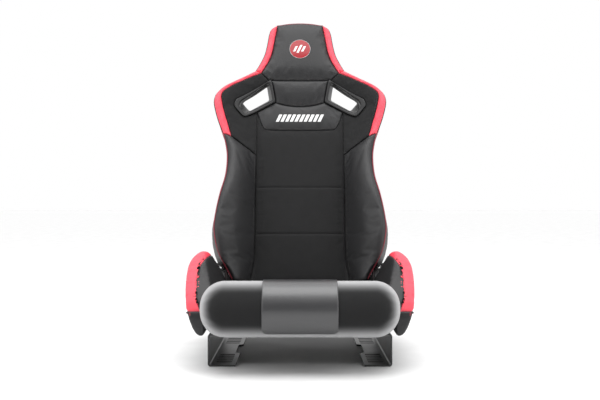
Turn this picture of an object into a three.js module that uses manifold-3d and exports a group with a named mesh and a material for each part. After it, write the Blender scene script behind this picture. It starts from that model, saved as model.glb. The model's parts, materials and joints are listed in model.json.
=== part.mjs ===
// Reclining racing seat on slide rails and floor brackets.
// Millimetres, +Z up, the seat faces -Y. Left and right are the occupant's, so left is +X.
// The seat is laid out from the front faces of the floor brackets (y = 0) and the floor (z = 0),
// and the whole group is then shifted so that its box's bottom centre is the origin.
import * as THREE from 'three';
import { mergeVertices } from 'three/addons/utils/BufferGeometryUtils.js';
import Module from 'manifold-3d';

const wasm = await Module();
wasm.setup();

// ---- Driving dimensions ------------------------------------------------------------------

const GAP = 0.3;                        // between pieces that touch

// Floor brackets and slide rails
const BRACKET = { outer: 216, inner: 151, lip: 170, height: 77, sheet: 4, bend: 7, length: 420 };
const SLOT = { length: 38, width: 10, pitch: 24, count: 5, centre: 181 };
const SLOT_GROUPS = [38, 300];          // y of the first slot of each group
const NOTCH = { from: 150, to: 281, depth: 12, slope: 9 };
const RAIL_X = 190;                     // centre line of both rails
const RAIL = { front: 30, back: 400, bottom: 77.3, top: 97, width: 40, wall: 2.5, mouth: 18 };
const STUD = { radius: 4, drop: 58, at: [70, 360] };
const PAN = { bottom: 108.4, sheet: 3, half: 215, front: -12, back: 335 };

// Seat base
const ROLL = { y: -77, z: 145, radius: 63, half: 225, straight: 168 };
const INSERT = { half: 84, proud: 1.5, depth: 6, from: -62, to: 118 };  // degrees from straight ahead
const CUSHION = { half: 189.5, front: -45, back: 334, cover: 12 };
const BOLSTER_RING = 8;                 // thickness of the bolster's outer leather and foam layer
const TRIM_DROP = 28;                   // how far the red band reaches below the ridge
const TRIM_INNER = 246;                 // x of the red band's inner seam
const TRIM_LOW = 138;                   // z of the red band's lower end

// Recliner, whose axis runs along X
const HINGE = { y: 402, z: 162 };
const DISC = { radius: 37, thick: 8.4 };
const BORE = 7;
const ROD = { radius: 5.5, half: 262.3 };
const LEVER = { reach: 104, rise: 14, hub: 17, inner: 278, outer: 286 };

// Backrest: x across, s up along the back, n forward from the centre panel's front
const RECLINE = 18;                     // degrees from upright
const BACK_FOOT = { y: 345, z: 165 };   // where s = 0 and n = 0
const PAD_BACK = -16;                   // back plane of every front pad
const SHELL = 4;                        // wall of the rear shell
const FUNNEL = 3;                       // wall of the harness bezels' funnels
const TUBE = 10;

// ---- Finishes ----------------------------------------------------------------------------

const finish = (color, roughness, metalness = 0) =>
  new THREE.MeshStandardMaterial({ color, roughness, metalness });
const LEATHER = finish(0x2b2b2c, 0.42);
const FABRIC = finish(0x1e1e20, 0.9);
const RED_LEATHER = finish(0xf5506a, 0.5);
const PLASTIC = finish(0x222222, 0.55);
const FOAM = finish(0xc9c2a8, 0.95);
const BLACK_STEEL = finish(0x2c2c2e, 0.5, 0.6);
const BRIGHT_STEEL = finish(0xb4b6b8, 0.35, 1);
const EMBLEM = finish(0xb01c2c, 0.35);

// ---- Solids ------------------------------------------------------------------------------

function weld(geometry) {
  const bare = geometry.clone();
  bare.deleteAttribute('normal');
  bare.deleteAttribute('uv');
  const welded = mergeVertices(bare, 1e-4);
  const old = welded.index.array;
  const index = [];
  for (let i = 0; i < old.length; i += 3) {
    const [a, b, c] = old.slice(i, i + 3);
    if (a !== b && b !== c && c !== a) index.push(a, b, c);
  }
  welded.setIndex(index);
  return welded;
}

function toSolid(geometry) {
  const welded = weld(geometry);
  return new wasm.Manifold(new wasm.Mesh({
    numProp: 3,
    vertProperties: new Float32Array(welded.attributes.position.array),
    triVerts: new Uint32Array(welded.index.array),
  }));
}

function toGeometry(solid) {
  const mesh = solid.getMesh();
  const geometry = new THREE.BufferGeometry();
  geometry.setAttribute('position', new THREE.BufferAttribute(mesh.vertProperties, 3));
  geometry.setIndex(new THREE.BufferAttribute(mesh.triVerts, 1));
  geometry.computeVertexNormals();
  return geometry;
}

const join = (...geometries) => toGeometry(geometries.map(toSolid).reduce((a, b) => a.add(b)));
const cut = (first, ...rest) => toGeometry(rest.map(toSolid).reduce((a, b) => a.subtract(b), toSolid(first)));
const common = (...geometries) => toGeometry(geometries.map(toSolid).reduce((a, b) => a.intersect(b)));

// The same geometry on the other side of the seat, with its faces turned back outwards
function mirrored(geometry) {
  const copy = weld(geometry);
  copy.scale(-1, 1, 1);
  const index = copy.index.array;
  for (let i = 0; i < index.length; i += 3) {
    const first = index[i];
    index[i] = index[i + 1];
    index[i + 1] = first;
  }
  copy.computeVertexNormals();
  return copy;
}

const vectors = (pairs) => pairs.map(([a, b]) => new THREE.Vector2(a, b));
const smooth = (pairs, steps) => new THREE.SplineCurve(vectors(pairs)).getPoints(steps);
const flip = (points) => points.map((p) => new THREE.Vector2(-p.x, p.y)).reverse();

// Joins stretches of points into one loop and drops doubled points
function loop(...stretches) {
  const points = [];
  for (const point of stretches.flat()) {
    if (points.every((other) => other.distanceTo(point) > 0.05)) points.push(point.clone());
  }
  return THREE.ShapeUtils.isClockWise(points) ? points.reverse() : points;
}

// Moves every edge of a counter-clockwise loop inwards by a distance; a negative one grows it
function inset(points, distance) {
  return points.map((point, i) => {
    const before = points[(i + points.length - 1) % points.length];
    const after = points[(i + 1) % points.length];
    const a = point.clone().sub(before).normalize();
    const b = after.clone().sub(point).normalize();
    const normal = new THREE.Vector2(-a.y - b.y, a.x + b.x).normalize();
    const stretch = distance / Math.max(0.35, normal.dot(new THREE.Vector2(-a.y, a.x)));
    return point.clone().addScaledVector(normal, stretch);
  });
}

const extruded = (points, depth) =>
  new THREE.ExtrudeGeometry(new THREE.Shape(points), { depth, bevelEnabled: false });
const prismZ = (points, low, high) => extruded(points, high - low).translate(0, 0, low);
const prismY = (points, low, high) =>
  extruded(points, high - low).rotateX(Math.PI / 2).translate(0, high, 0);

// A (y, z) outline extruded along X
function prismX(points, low, high) {
  const axes = new THREE.Matrix4().makeBasis(
    new THREE.Vector3(0, 1, 0), new THREE.Vector3(0, 0, 1), new THREE.Vector3(1, 0, 0));
  return extruded(points, high - low).applyMatrix4(axes).translate(low, 0, 0);
}

const box = (x0, x1, y0, y1, z0, z1) => new THREE.BoxGeometry(x1 - x0, y1 - y0, z1 - z0)
  .translate((x0 + x1) / 2, (y0 + y1) / 2, (z0 + z1) / 2);

const barX = (radius, x0, x1, y, z, sides = 20) =>
  new THREE.CylinderGeometry(radius, radius, x1 - x0, sides)
    .rotateZ(Math.PI / 2).translate((x0 + x1) / 2, y, z);
const barZ = (radius, x, y, z0, z1, sides = 16) =>
  new THREE.CylinderGeometry(radius, radius, z1 - z0, sides)
    .rotateX(Math.PI / 2).translate(x, y, (z0 + z1) / 2);

function circle(radius, sides) {
  return Array.from({ length: sides }, (_, i) =>
    new THREE.Vector2(radius, 0).rotateAround(new THREE.Vector2(), (2 * Math.PI * i) / sides));
}

function tube(points, radius, steps, sides = 10) {
  const path = new THREE.CatmullRomCurve3(points.map((p) => new THREE.Vector3(...p)), false, 'centripetal');
  return new THREE.ExtrudeGeometry(new THREE.Shape(circle(radius, sides)),
    { steps, bevelEnabled: false, extrudePath: path });
}

// A block on the grid lines xs and ys, whose bottom and top follow two height functions
function block(xs, ys, low, high) {
  const columns = xs.length - 1;
  const rows = ys.length - 1;
  const geometry = new THREE.BoxGeometry(columns, rows, 2, columns, rows, 1);
  const place = geometry.attributes.position;
  for (let i = 0; i < place.count; i += 1) {
    const x = xs[Math.round(place.getX(i) + columns / 2)];
    const y = ys[Math.round(place.getY(i) + rows / 2)];
    const height = place.getZ(i) > 0 ? high : low;
    place.setXYZ(i, x, y, height(x, y));
  }
  return geometry;
}

const evenly = (from, to, cells) =>
  Array.from({ length: cells + 1 }, (_, i) => THREE.MathUtils.lerp(from, to, i / cells));

// Straight lines between [at, value] keys
function ramp(keys, at) {
  const next = keys.findIndex(([where]) => where >= at);
  if (next === 0) return keys[0][1];
  if (next < 0) return keys[keys.length - 1][1];
  const [a, from] = keys[next - 1];
  const [b, to] = keys[next];
  return THREE.MathUtils.mapLinear(at, a, b, from, to);
}

const { smoothstep, clamp, degToRad } = THREE.MathUtils;

// ---- Scene graph -------------------------------------------------------------------------

const group = new THREE.Group();
const backrest = new THREE.Group();
backrest.position.set(0, BACK_FOOT.y, BACK_FOOT.z);
backrest.rotation.x = degToRad(90 - RECLINE);
group.add(backrest);

function addPart(parent, name, geometry, material) {
  const mesh = new THREE.Mesh(geometry, material);
  mesh.name = name;
  parent.add(mesh);
}

// The geometry is the left, +X, one
function addPair(parent, name, geometry, material) {
  addPart(parent, `left_${name}`, geometry, material);
  addPart(parent, `right_${name}`, mirrored(geometry), material);
}

// ---- Floor brackets and rails ------------------------------------------------------------

function bracketSection() {
  const { outer, inner, lip, height, sheet, bend } = BRACKET;
  const shape = new THREE.Shape();
  shape.moveTo(inner, 0);
  shape.lineTo(outer - bend, 0);
  shape.absarc(outer - bend, bend, bend, -Math.PI / 2, 0, false);
  shape.absarc(outer - bend, height - bend, bend, 0, Math.PI / 2, false);
  shape.lineTo(lip, height);
  shape.lineTo(lip, height - sheet);
  shape.absarc(outer - bend, height - bend, bend - sheet, Math.PI / 2, 0, true);
  shape.absarc(outer - bend, bend, bend - sheet, 0, -Math.PI / 2, true);
  shape.lineTo(inner, sheet);
  return loop(shape.getPoints(3));
}

function bracket() {
  const cuts = [];
  for (const first of SLOT_GROUPS) {
    for (let i = 0; i < SLOT.count; i += 1) {
      const y = first + i * SLOT.pitch;
      const x = SLOT.centre;
      cuts.push(box(x - SLOT.length / 2, x + SLOT.length / 2, y - SLOT.width / 2, y + SLOT.width / 2, -1, 6));
    }
  }
  const { from, to, depth, slope } = NOTCH;
  const edge = BRACKET.inner;
  const notch = vectors([[edge - 1, from], [edge + depth, from + slope], [edge + depth, to - slope], [edge - 1, to]]);
  cuts.push(prismZ(loop(notch), -1, 6));
  for (const y of STUD.at) cuts.push(barZ(STUD.radius + 0.5, RAIL_X, y, 70, 80));
  return cut(prismY(bracketSection(), 0, BRACKET.length), ...cuts);
}

function lowerRail() {
  const { bottom, top, width, wall, mouth, front, back } = RAIL;
  const left = RAIL_X - width / 2;
  const right = RAIL_X + width / 2;
  const body = box(left, right, front, back, bottom, top);
  const hollow = box(left + wall, right - wall, front - 1, back + 1, bottom + wall, top - wall);
  const opening = box(RAIL_X - mouth / 2, RAIL_X + mouth / 2, front - 1, back + 1, bottom + wall, top + 1);
  const studs = STUD.at.map((y) => barZ(STUD.radius, RAIL_X, y, STUD.drop, bottom + 1, 12));
  return join(cut(body, hollow, opening), ...studs);
}

function upperRail() {
  const { front, back, top } = RAIL;
  const foot = box(RAIL_X - 13.5, RAIL_X + 13.5, front, back, 81, 85);
  const web = box(RAIL_X - 4, RAIL_X + 4, front, back, 84, top + 3);
  const head = box(RAIL_X - 14, RAIL_X + 14, front, back, top + 1.5, PAN.bottom - GAP);
  return join(foot, web, head);
}

const railNut = (y) =>
  cut(barZ(7, RAIL_X, y, 66, 73 - GAP, 6), barZ(STUD.radius + 0.3, RAIL_X, y, 60, 80, 12));

addPair(group, 'floor_bracket', bracket(), BLACK_STEEL);
addPair(group, 'lower_rail', lowerRail(), BRIGHT_STEEL);
addPair(group, 'front_rail_nut', railNut(STUD.at[0]), BRIGHT_STEEL);
addPair(group, 'rear_rail_nut', railNut(STUD.at[1]), BRIGHT_STEEL);
addPair(group, 'upper_rail', upperRail(), BRIGHT_STEEL);

// ---- Seat base ---------------------------------------------------------------------------

// A roll with rounded ends, grown by a margin where it is used to cut a neighbour
function rollBody(margin) {
  const { half, straight, radius, y, z } = ROLL;
  const quarter = 5;
  const points = [new THREE.Vector2(0, -half - margin)];
  for (const side of [-1, 1]) {
    for (let i = 0; i <= quarter; i += 1) {
      const turn = side < 0 ? i : quarter - i;
      const angle = (Math.PI / 2) * (turn / quarter);
      const along = straight + (half + margin - straight) * Math.cos(angle);
      if (turn > 0) points.push(new THREE.Vector2((radius + margin) * Math.sin(angle) ** 0.9, side * along));
    }
  }
  points.push(new THREE.Vector2(0, half + margin));
  return new THREE.LatheGeometry(points, 24).rotateZ(-Math.PI / 2).translate(0, y, z);
}

// A curved plate over the roll's front, as a (y, z) sector of a ring
function insertBody(margin) {
  const { from, to, proud, depth, half } = INSERT;
  const outer = ROLL.radius + proud;
  const inner = outer - depth - margin;
  const arc = (radius, reverse) => {
    const points = Array.from({ length: 15 }, (_, i) => {
      const angle = degToRad(THREE.MathUtils.lerp(from - margin, to + margin, i / 14));
      return new THREE.Vector2(ROLL.y - radius * Math.cos(angle), ROLL.z + radius * Math.sin(angle));
    });
    return reverse ? points.reverse() : points;
  };
  return prismX(loop(arc(outer + margin * 20, false), arc(inner, true)), -half - margin, half + margin);
}

function seatPan() {
  const { bottom, sheet, half, front, back } = PAN;
  const plate = box(-half, half, front, back, bottom, bottom + sheet);
  const tongue = box(-150, 150, ROLL.y - 33, front + 1, bottom, bottom + sheet);
  return cut(join(plate, tongue), box(-120, 120, 50, 290, bottom - 1, bottom + sheet + 1));
}

// A sprung mat: side wires and cross wires in one welded grid
function springMat(halfWidth, from, to, count, height, wire) {
  const side = wire * 1.25;
  const wires = [8 - halfWidth, halfWidth - 8].map((x) =>
    box(x - side, x + side, from, to, height - side, height + side));
  for (let i = 0; i < count; i += 1) {
    const y = THREE.MathUtils.lerp(from + 6, to - 6, i / (count - 1));
    wires.push(box(-halfWidth, halfWidth, y - wire, y + wire, height - wire, height + wire));
  }
  return join(...wires);
}

const cushionTop = (x, y) =>
  ramp([[-45, 200], [0, 193], [140, 170], [270, 148], [300, 142], [334, 138]], y) + 6 * (x / CUSHION.half) ** 2;

function cushionLayer(low, high) {
  const { half, front, back } = CUSHION;
  return cut(block(evenly(-half, half, 6), evenly(front, back, 8), low, high), rollBody(0.5));
}

// The bolster seen from the front: inner face, ridge, outer face and hanging skirt
const bolsterFront = loop(
  vectors([[190, 112]]),
  smooth([[190, 150], [206, 182], [221, 220], [233, 250], [240, 257], [248, 259], [257, 256], [264, 249],
    [270, 236], [274, 218], [276, 190], [275, 162], [271, 140], [263, 118], [255, 99], [246, 85], [237, 79.5]], 24),
  vectors([[228, 80], [222, 86], [222, 112]]));

// The bolster seen from the side
const bolsterSide = loop(
  smooth([[-48, 80], [-59, 98], [-62, 122], [-52, 150], [-20, 184], [30, 217], [90, 244], [150, 257],
    [190, 259], [228, 252], [262, 234], [300, 202], [326, 168], [334, 145]], 20),
  vectors([[334, 92], [324, 80]]));

// The side outline drawn in towards its middle, by the same distance at the ridge and the front
function sideWithin(distance) {
  const middle = new THREE.Vector2(136, 150);
  const reach = new THREE.Vector2(198, 109);
  const factor = new THREE.Vector2(1 - distance / reach.x, 1 - distance / reach.y);
  return bolsterSide.map((point) => point.clone().sub(middle).multiply(factor).add(middle));
}

const frontShifted = (distance) => bolsterFront.map((point) => point.clone().setX(point.x - distance));

function bolsterPieces() {
  const whole = cut(common(prismY(bolsterFront, -80, 350), prismX(bolsterSide, 150, 300)), rollBody(0.6));
  const band = cut(common(whole, box(TRIM_INNER, 300, -100, 350, TRIM_LOW, 300)),
    prismX(sideWithin(TRIM_DROP), 150, 310));
  const bandSpace = cut(box(TRIM_INNER - GAP, 300, -100, 350, TRIM_LOW - GAP, 300),
    prismX(sideWithin(TRIM_DROP + GAP), 150, 310));
  const rest = cut(whole, bandSpace);
  const panelSeam = TRIM_INNER;
  const panel = cut(rest, prismY(frontShifted(BOLSTER_RING), -100, 350), box(100, panelSeam, -100, 400, 0, 300));
  const core = join(prismY(frontShifted(BOLSTER_RING + GAP), -100, 350),
    box(100, panelSeam - GAP, -101, 400, 0, 300));
  return { band, panel, foam: common(rest, core) };
}

const insertGap = insertBody(GAP);
const tongueGap = box(-151, 151, ROLL.y - 34, 0, PAN.bottom - 0.5, PAN.bottom + PAN.sheet + 0.5);
const bolsterParts = bolsterPieces();

addPart(group, 'seat_pan', seatPan(), BLACK_STEEL);
addPart(group, 'cushion_spring_mat', springMat(118.5, 52, 288, 6, PAN.bottom + 1.5, 1.1), BRIGHT_STEEL);
addPart(group, 'front_roll', cut(rollBody(0), insertGap, tongueGap), FABRIC);
addPart(group, 'front_roll_insert', insertBody(0), LEATHER);
addPart(group, 'cushion_foam', cushionLayer(() => PAN.bottom + PAN.sheet + 0.5,
  (x, y) => cushionTop(x, y) - CUSHION.cover - GAP), FOAM);
addPart(group, 'cushion_cover', cushionLayer((x, y) => cushionTop(x, y) - CUSHION.cover, cushionTop), FABRIC);
addPair(group, 'base_bolster', bolsterParts.foam, LEATHER);
addPair(group, 'base_side_panel', bolsterParts.panel, LEATHER);
addPair(group, 'base_trim', bolsterParts.band, RED_LEATHER);

// ---- Recliner hardware on the base -------------------------------------------------------

const hingeDisc = (radius, x0, x1, sides = 28) => barX(radius, x0, x1, HINGE.y, HINGE.z, sides);
const hingeBore = hingeDisc(BORE, 150, 300, 16);

function basePlate() {
  const leg = prismX(loop(vectors([[348, PAN.bottom], [444, PAN.bottom], [441, 172], [363, 172]])), 227, 231);
  const foot = box(RAIL_X - 14, 230, 348, RAIL.back - 2, PAN.bottom, PAN.bottom + 4);
  return cut(join(leg, foot, hingeDisc(44, 227, 231)), hingeBore);
}

// Flat spiral return spring, an Archimedean ribbon
function clockSpring() {
  const turns = 2.5;
  const steps = 30;
  const edge = (offset) => Array.from({ length: steps + 1 }, (_, i) => {
    const angle = 2 * Math.PI * turns * (i / steps);
    const radius = 13 + offset + (16 * i) / steps;
    return new THREE.Vector2(HINGE.y + radius * Math.cos(angle), HINGE.z + radius * Math.sin(angle));
  });
  return prismX(loop(edge(0), edge(1.8).reverse()), 232, 238);
}

function hingeCover() {
  const outline = (margin) => Array.from({ length: 20 }, (_, i) => {
    const angle = (2 * Math.PI * i) / 20;
    const squash = 1 / (Math.abs(Math.cos(angle)) ** 3 + Math.abs(Math.sin(angle)) ** 3) ** (1 / 3);
    const radius = (50 - margin) * squash;
    return new THREE.Vector2(HINGE.y + radius * Math.cos(angle), HINGE.z + radius * Math.sin(angle));
  });
  const shell = join(prismX(outline(0), 231.4, 255), prismX(outline(5), 254, 262));
  return cut(shell, prismX(outline(3), 230, 254), prismX(outline(8), 253, 259), hingeBore);
}

function lever() {
  const hub = hingeDisc(LEVER.hub, ROD.half + GAP, LEVER.outer, 24);
  const tip = new THREE.Vector2(HINGE.y - LEVER.reach, HINGE.z + LEVER.rise);
  const end = Array.from({ length: 7 }, (_, i) =>
    new THREE.Vector2(14, 0).rotateAround(new THREE.Vector2(), degToRad(90 + 30 * i)).add(tip));
  const arm = loop(vectors([[HINGE.y + 4, HINGE.z - 15], [HINGE.y + 4, HINGE.z + 16]]), end);
  return join(hub, prismX(arm, LEVER.inner, LEVER.outer));
}

addPair(group, 'recliner_base_plate', basePlate(), BLACK_STEEL);
addPair(group, 'recliner_guide_disc', cut(hingeDisc(DISC.radius - 1, 218, 226.6), hingeBore), BRIGHT_STEEL);
addPair(group, 'clock_spring', clockSpring(), BRIGHT_STEEL);
addPair(group, 'hinge_cover', hingeCover(), PLASTIC);
addPart(group, 'sync_rod', hingeDisc(ROD.radius, -ROD.half, ROD.half, 12), BRIGHT_STEEL);
addPair(group, 'recline_lever', lever(), PLASTIC);

// ---- Slide release bar -------------------------------------------------------------------

const SLIDE_BAR = { pivotY: 70, pivotZ: 102.5, frontY: -8, frontZ: 86, half: 160, radius: 5 };
const barEnd = (side) => [
  [side * 175, SLIDE_BAR.pivotY, SLIDE_BAR.pivotZ],
  [side * 168, SLIDE_BAR.pivotY, SLIDE_BAR.pivotZ],
  [side * SLIDE_BAR.half, SLIDE_BAR.pivotY - 9, SLIDE_BAR.pivotZ - 2],
  [side * SLIDE_BAR.half, 10, SLIDE_BAR.frontZ + 3],
  [side * (SLIDE_BAR.half - 14), SLIDE_BAR.frontY, SLIDE_BAR.frontZ],
];
addPart(group, 'slide_release_bar',
  tube([...barEnd(-1), ...barEnd(1).reverse()], SLIDE_BAR.radius, 26, 6), BLACK_STEEL);

// ---- Backrest outlines, on the (x, s) plane ----------------------------------------------

const sideEdge = smooth([[177.5, -13], [203, 33], [218, 62], [227, 94], [232, 132], [228, 178],
  [219, 232], [207, 290], [205, 349], [211, 392], [219.5, 425]], 15);
const shoulderEdge = smooth([[219.5, 425], [234, 463], [244, 498], [248, 522], [245, 542], [237, 557],
  [221.5, 575], [200, 590], [163, 612], [130, 631.5]], 13);
const headEdge = smooth([[130, 631.5], [117, 656], [104.7, 684.5], [98.5, 710], [94.6, 733], [91, 756],
  [84, 774], [68.6, 785]], 10);
const headTop = smooth([[68.6, 785], [35, 791], [0, 793], [-35, 791], [-68.6, 785]], 8);
const shoulderSeam = smooth([[197, 417], [211, 466], [221, 500], [228.5, 541], [222.7, 557],
  [208.5, 571], [181, 589.5], [144.5, 610], [115, 625]], 12);
const headSeam = smooth([[115, 625], [101, 650], [89.3, 676], [81.5, 706], [77, 735], [72, 762], [68.6, 785]], 8);
const bolsterSeam = smooth([[137, -8], [128, 60], [126.5, 122], [126.5, 373]], 8);
const rimEdge = smooth([[197, -10], [200, 14], [209, 36], [226, 66], [237, 86], [241, 104], [240, 140],
  [228, 178]], 14);
const panelRim = smooth([[209, 35], [221, 45], [231, 60], [237, 80], [241, 104], [240, 140], [228, 178]], 12);
const PANEL_FOOT = 36;                  // s where the side panel starts
const smile = smooth([[72.5, 538], [36, 529], [0, 526], [-36, 529], [-72.5, 538]], 8);
const yokeFoot = smooth([[120, 490], [109, 463], [98, 453.5], [50, 451], [0, 450]], 8);

const bezelOutline = loop(
  smooth([[92, 600], [86, 603], [83, 597]], 4),
  smooth([[73.5, 546], [73, 539], [79, 535]], 4),
  smooth([[154, 493], [163, 489.5], [171, 494]], 4),
  smooth([[187, 511], [191.5, 519], [186, 536]], 6));
const opening = vectors([[172, 536], [95, 596], [89, 590], [81, 541], [161, 498], [178, 519]]);
const openingBack = vectors([[174, 531], [112, 590], [101, 585], [94, 541], [152, 506], [172, 529]]);
const TUNNEL = { front: 10, back: -62, climb: 0.46 };   // climb: rise in s for each mm towards the back

// A straight-sided funnel through the harness opening between two depths
function funnel(front, back, margin) {
  const grow = (points) => inset(loop(points), -margin);
  const at = (depth, i) => {
    const t = (TUNNEL.front - depth) / (TUNNEL.front - TUNNEL.back);
    const point = grow(opening)[i].clone().lerp(grow(openingBack)[i], t);
    return point.add(new THREE.Vector2(0, TUNNEL.climb * (TUNNEL.front - depth)));
  };
  const guide = grow(opening);
  const geometry = extruded(guide, 1);
  const place = geometry.attributes.position;
  for (let i = 0; i < place.count; i += 1) {
    const here = new THREE.Vector2(place.getX(i), place.getY(i));
    const corner = guide.findIndex((point) => point.distanceTo(here) < 0.01);
    const depth = place.getZ(i) > 0.5 ? front : back;
    const point = at(depth, corner);
    place.setXYZ(i, point.x, point.y, depth);
  }
  return geometry;
}

const wingOutline = loop(
  vectors([[126.5, 373]]), shoulderSeam, vectors([[93, 604.5]]),
  smooth([[94, 600], [140, 565], [186, 537]], 2), smooth([[187, 536.5], [191.5, 519], [187, 511]], 4),
  smooth([[171, 494], [163, 489.5], [154, 493]], 4), vectors([[126.5, 508.4]]));
const bolsterOutline = loop(bolsterSeam, vectors([[197, 417], [219.5, 425]]), [...sideEdge].reverse());
const fromFoot = (points) => points.filter((point) => point.y > PANEL_FOOT && point.y < 178);
const sidePanelOutline = loop(fromFoot(sideEdge), vectors([[228, 178]]), fromFoot(panelRim).reverse());
const shoulderOutline = loop(shoulderEdge, [...shoulderSeam].reverse());
const headTrimOutline = loop(headEdge, [...headSeam].reverse());
const headPadOutline = loop(headSeam, headTop, flip(headSeam), vectors([[-93, 604.5], [93, 604.5]]));
const bridgeOutline = loop(vectors([[84.5, 604.5]]), vectors([[-84.5, 604.5]]), [...smile].reverse());
const yokeSide = [...vectors([[126.5, 508.4]]), ...yokeFoot];
const yokeOutline = loop(smile, flip(yokeSide).reverse(), [...yokeSide].reverse());
const centreOutline = loop(bolsterSeam, yokeSide, flip(yokeSide), flip(bolsterSeam));
const rimOutline = loop(rimEdge, sideEdge.filter((point) => point.y > 178), shoulderEdge, headEdge, headTop,
  flip(headEdge), flip(shoulderEdge), flip(sideEdge.filter((point) => point.y > 178)), flip(rimEdge));

// ---- Backrest surfaces -------------------------------------------------------------------

const outerEdge = [...sideEdge, ...shoulderEdge, ...headEdge].map((point) => [point.y, point.x]);
const halfWidth = (s) => ramp(outerEdge, s);
const bolsterHeight = (s) => ramp([[-13, 70], [33, 80], [94, 93], [132, 95], [178, 92], [232, 85], [290, 70],
  [349, 55], [425, 44], [522, 48], [575, 38], [612, 28], [650, 24], [793, 20]], s);

// Front of the pads: a flat centre, sides that rise to the bolster ridge, then fall to the rim
function frontOf(x, s) {
  const centre = 18 * smoothstep(s, 500, 650);
  const flat = THREE.MathUtils.lerp(126, 60, smoothstep(s, 500, 640));
  const edge = halfWidth(s);
  const across = clamp((Math.abs(x) - flat) / (edge - flat), 0, 1);
  const power = THREE.MathUtils.lerp(1.2, 1.8, smoothstep(s, 373, 430));
  const rise = centre + (bolsterHeight(s) - centre) * Math.sin(1.75 * across ** power);
  const beyond = clamp((Math.abs(x) - edge) / 22, 0, 1);
  return s < 178 ? rise * (1 - beyond) - 6 * beyond : rise;
}

// Back of the shell: deep at the seat, shallow at the shoulders and head, turned in at the rim
function rearOf(x, s) {
  const depth = THREE.MathUtils.lerp(-100, -66, smoothstep(s, 330, 520));
  const across = clamp(Math.abs(x) / halfWidth(Math.max(s, 104)), 0, 1);
  return depth + 20 * across ** 4 + 14 * smoothstep(s, 740, 795) + 8 * (1 - smoothstep(s, -10, 60));
}

const acrossLines = [264, 242, 220, 196, 172, 148, 126, 80, 40];
const sheetX = [...acrossLines.map((x) => -x), 0, ...[...acrossLines].reverse()];
const sheetS = evenly(-40, 806, 26);
const frontBlock = (rise = 0) => block(sheetX, sheetS, () => PAD_BACK, (x, s) => frontOf(x, s) + rise);
const pad = (outline) => common(prismZ(inset(outline, GAP / 2), -40, 120), frontBlock());

// ---- Backrest pieces ---------------------------------------------------------------------

const hingeS = (HINGE.y - BACK_FOOT.y) * Math.sin(degToRad(RECLINE))
  + (HINGE.z - BACK_FOOT.z) * Math.cos(degToRad(RECLINE));
const hingeN = (HINGE.z - BACK_FOOT.z) * Math.sin(degToRad(RECLINE))
  - (HINGE.y - BACK_FOOT.y) * Math.cos(degToRad(RECLINE));
const localDisc = (radius, x0, x1, sides = 28) => barX(radius, x0, x1, hingeS, hingeN, sides);
const localBore = localDisc(BORE, -300, 300, 16);

// The hoop and its two bars, grown by a margin where it is used to cut a neighbour
function backFrame(margin) {
  const depth = (s) => THREE.MathUtils.lerp(-70, -28, smoothstep(s, 330, 500));
  const route = [[190, 44], [199, 120], [185, 230], [178, 320], [186, 400], [205, 470], [211, 520],
    [197, 559], [156, 591], [132, 608], [110, 630], [86, 668], [76, 710], [62, 741], [30, 754]];
  const left = route.map(([x, s]) => [x, s, depth(s)]);
  const right = [...left].reverse().map(([x, s, n]) => [-x, s, n]);
  const lowBar = barX(TUBE + margin, -191, 191, 46, -70, 10);
  const highBar = barX(TUBE - 1 + margin, -203, 203, 478, depth(478), 10);
  return join(tube([...left, ...right], TUBE + margin, 42, 8), lowBar, highBar);
}

function reclinerArm() {
  const strap = box(205, 209, hingeS, 100, hingeN - 20, hingeN + 18);
  const weldPad = box(192, 208, 78, 98, -76, -52);
  return cut(join(localDisc(40, 205, 209), strap, weldPad), localBore, backFrame(GAP));
}

function harnessBezel() {
  const lip = common(prismZ(inset(bezelOutline, GAP / 2), -40, 120), frontBlock(6));
  return cut(join(lip, funnel(4, -60, FUNNEL)), funnel(45, -80, 0));
}

function backShell() {
  const shellX = [-264, -216, -168, -110, 0, 110, 168, 216, 264];
  const shellS = evenly(-40, 806, 16);
  const outer = common(prismZ(rimOutline, -120, PAD_BACK - GAP), block(shellX, shellS, rearOf, () => 0));
  const inner = common(prismZ(inset(rimOutline, SHELL), -120, 20),
    block(shellX, shellS, (x, s) => rearOf(x, s) + SHELL, () => 20));
  const armNotch = join(box(202, 212, -40, 106, hingeN - 44, hingeN + 42),
    box(202, 222, -40, 62, hingeN - 44, hingeN + 42));
  const slot = funnel(-40, -90, FUNNEL + 2 * GAP);
  return cut(outer, inner, slot, mirrored(slot), armNotch, mirrored(armNotch), localDisc(10, -300, 300, 16));
}

const EMBLEM_S = 702;
const emblemFace = frontOf(0, EMBLEM_S);
const emblemDisc = (radius, low, high) => barZ(radius, 0, EMBLEM_S, emblemFace + low, emblemFace + high, 32);
const bezelSpace = join(prismZ(inset(bezelOutline, -GAP / 2), -40, 120), funnel(30, -50, FUNNEL + 3 * GAP));
const clearOfBezels = (geometry) => cut(geometry, bezelSpace, mirrored(bezelSpace));

addPart(backrest, 'back_frame', backFrame(0), BLACK_STEEL);
addPair(backrest, 'recliner_arm', reclinerArm(), BLACK_STEEL);
addPair(backrest, 'recliner_tooth_disc', cut(localDisc(DISC.radius, 209 + GAP, 209 + GAP + DISC.thick), localBore),
  BRIGHT_STEEL);
addPart(backrest, 'back_spring_mat', springMat(165, 62, 440, 7, -49, 1.2), BRIGHT_STEEL);
addPart(backrest, 'back_foam', box(-150, 150, 0, 464, -46, PAD_BACK - GAP), FOAM);
addPart(backrest, 'back_centre_panel', pad(centreOutline), FABRIC);
addPair(backrest, 'shoulder_wing', cut(pad(wingOutline), bezelSpace), FABRIC);
addPair(backrest, 'back_bolster', pad(bolsterOutline), LEATHER);
addPair(backrest, 'back_side_panel', pad(sidePanelOutline), LEATHER);
addPair(backrest, 'shoulder_trim', pad(shoulderOutline), RED_LEATHER);
addPart(backrest, 'head_pad', cut(clearOfBezels(pad(headPadOutline)), emblemDisc(31.3, -1.3, 10)), LEATHER);
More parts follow.
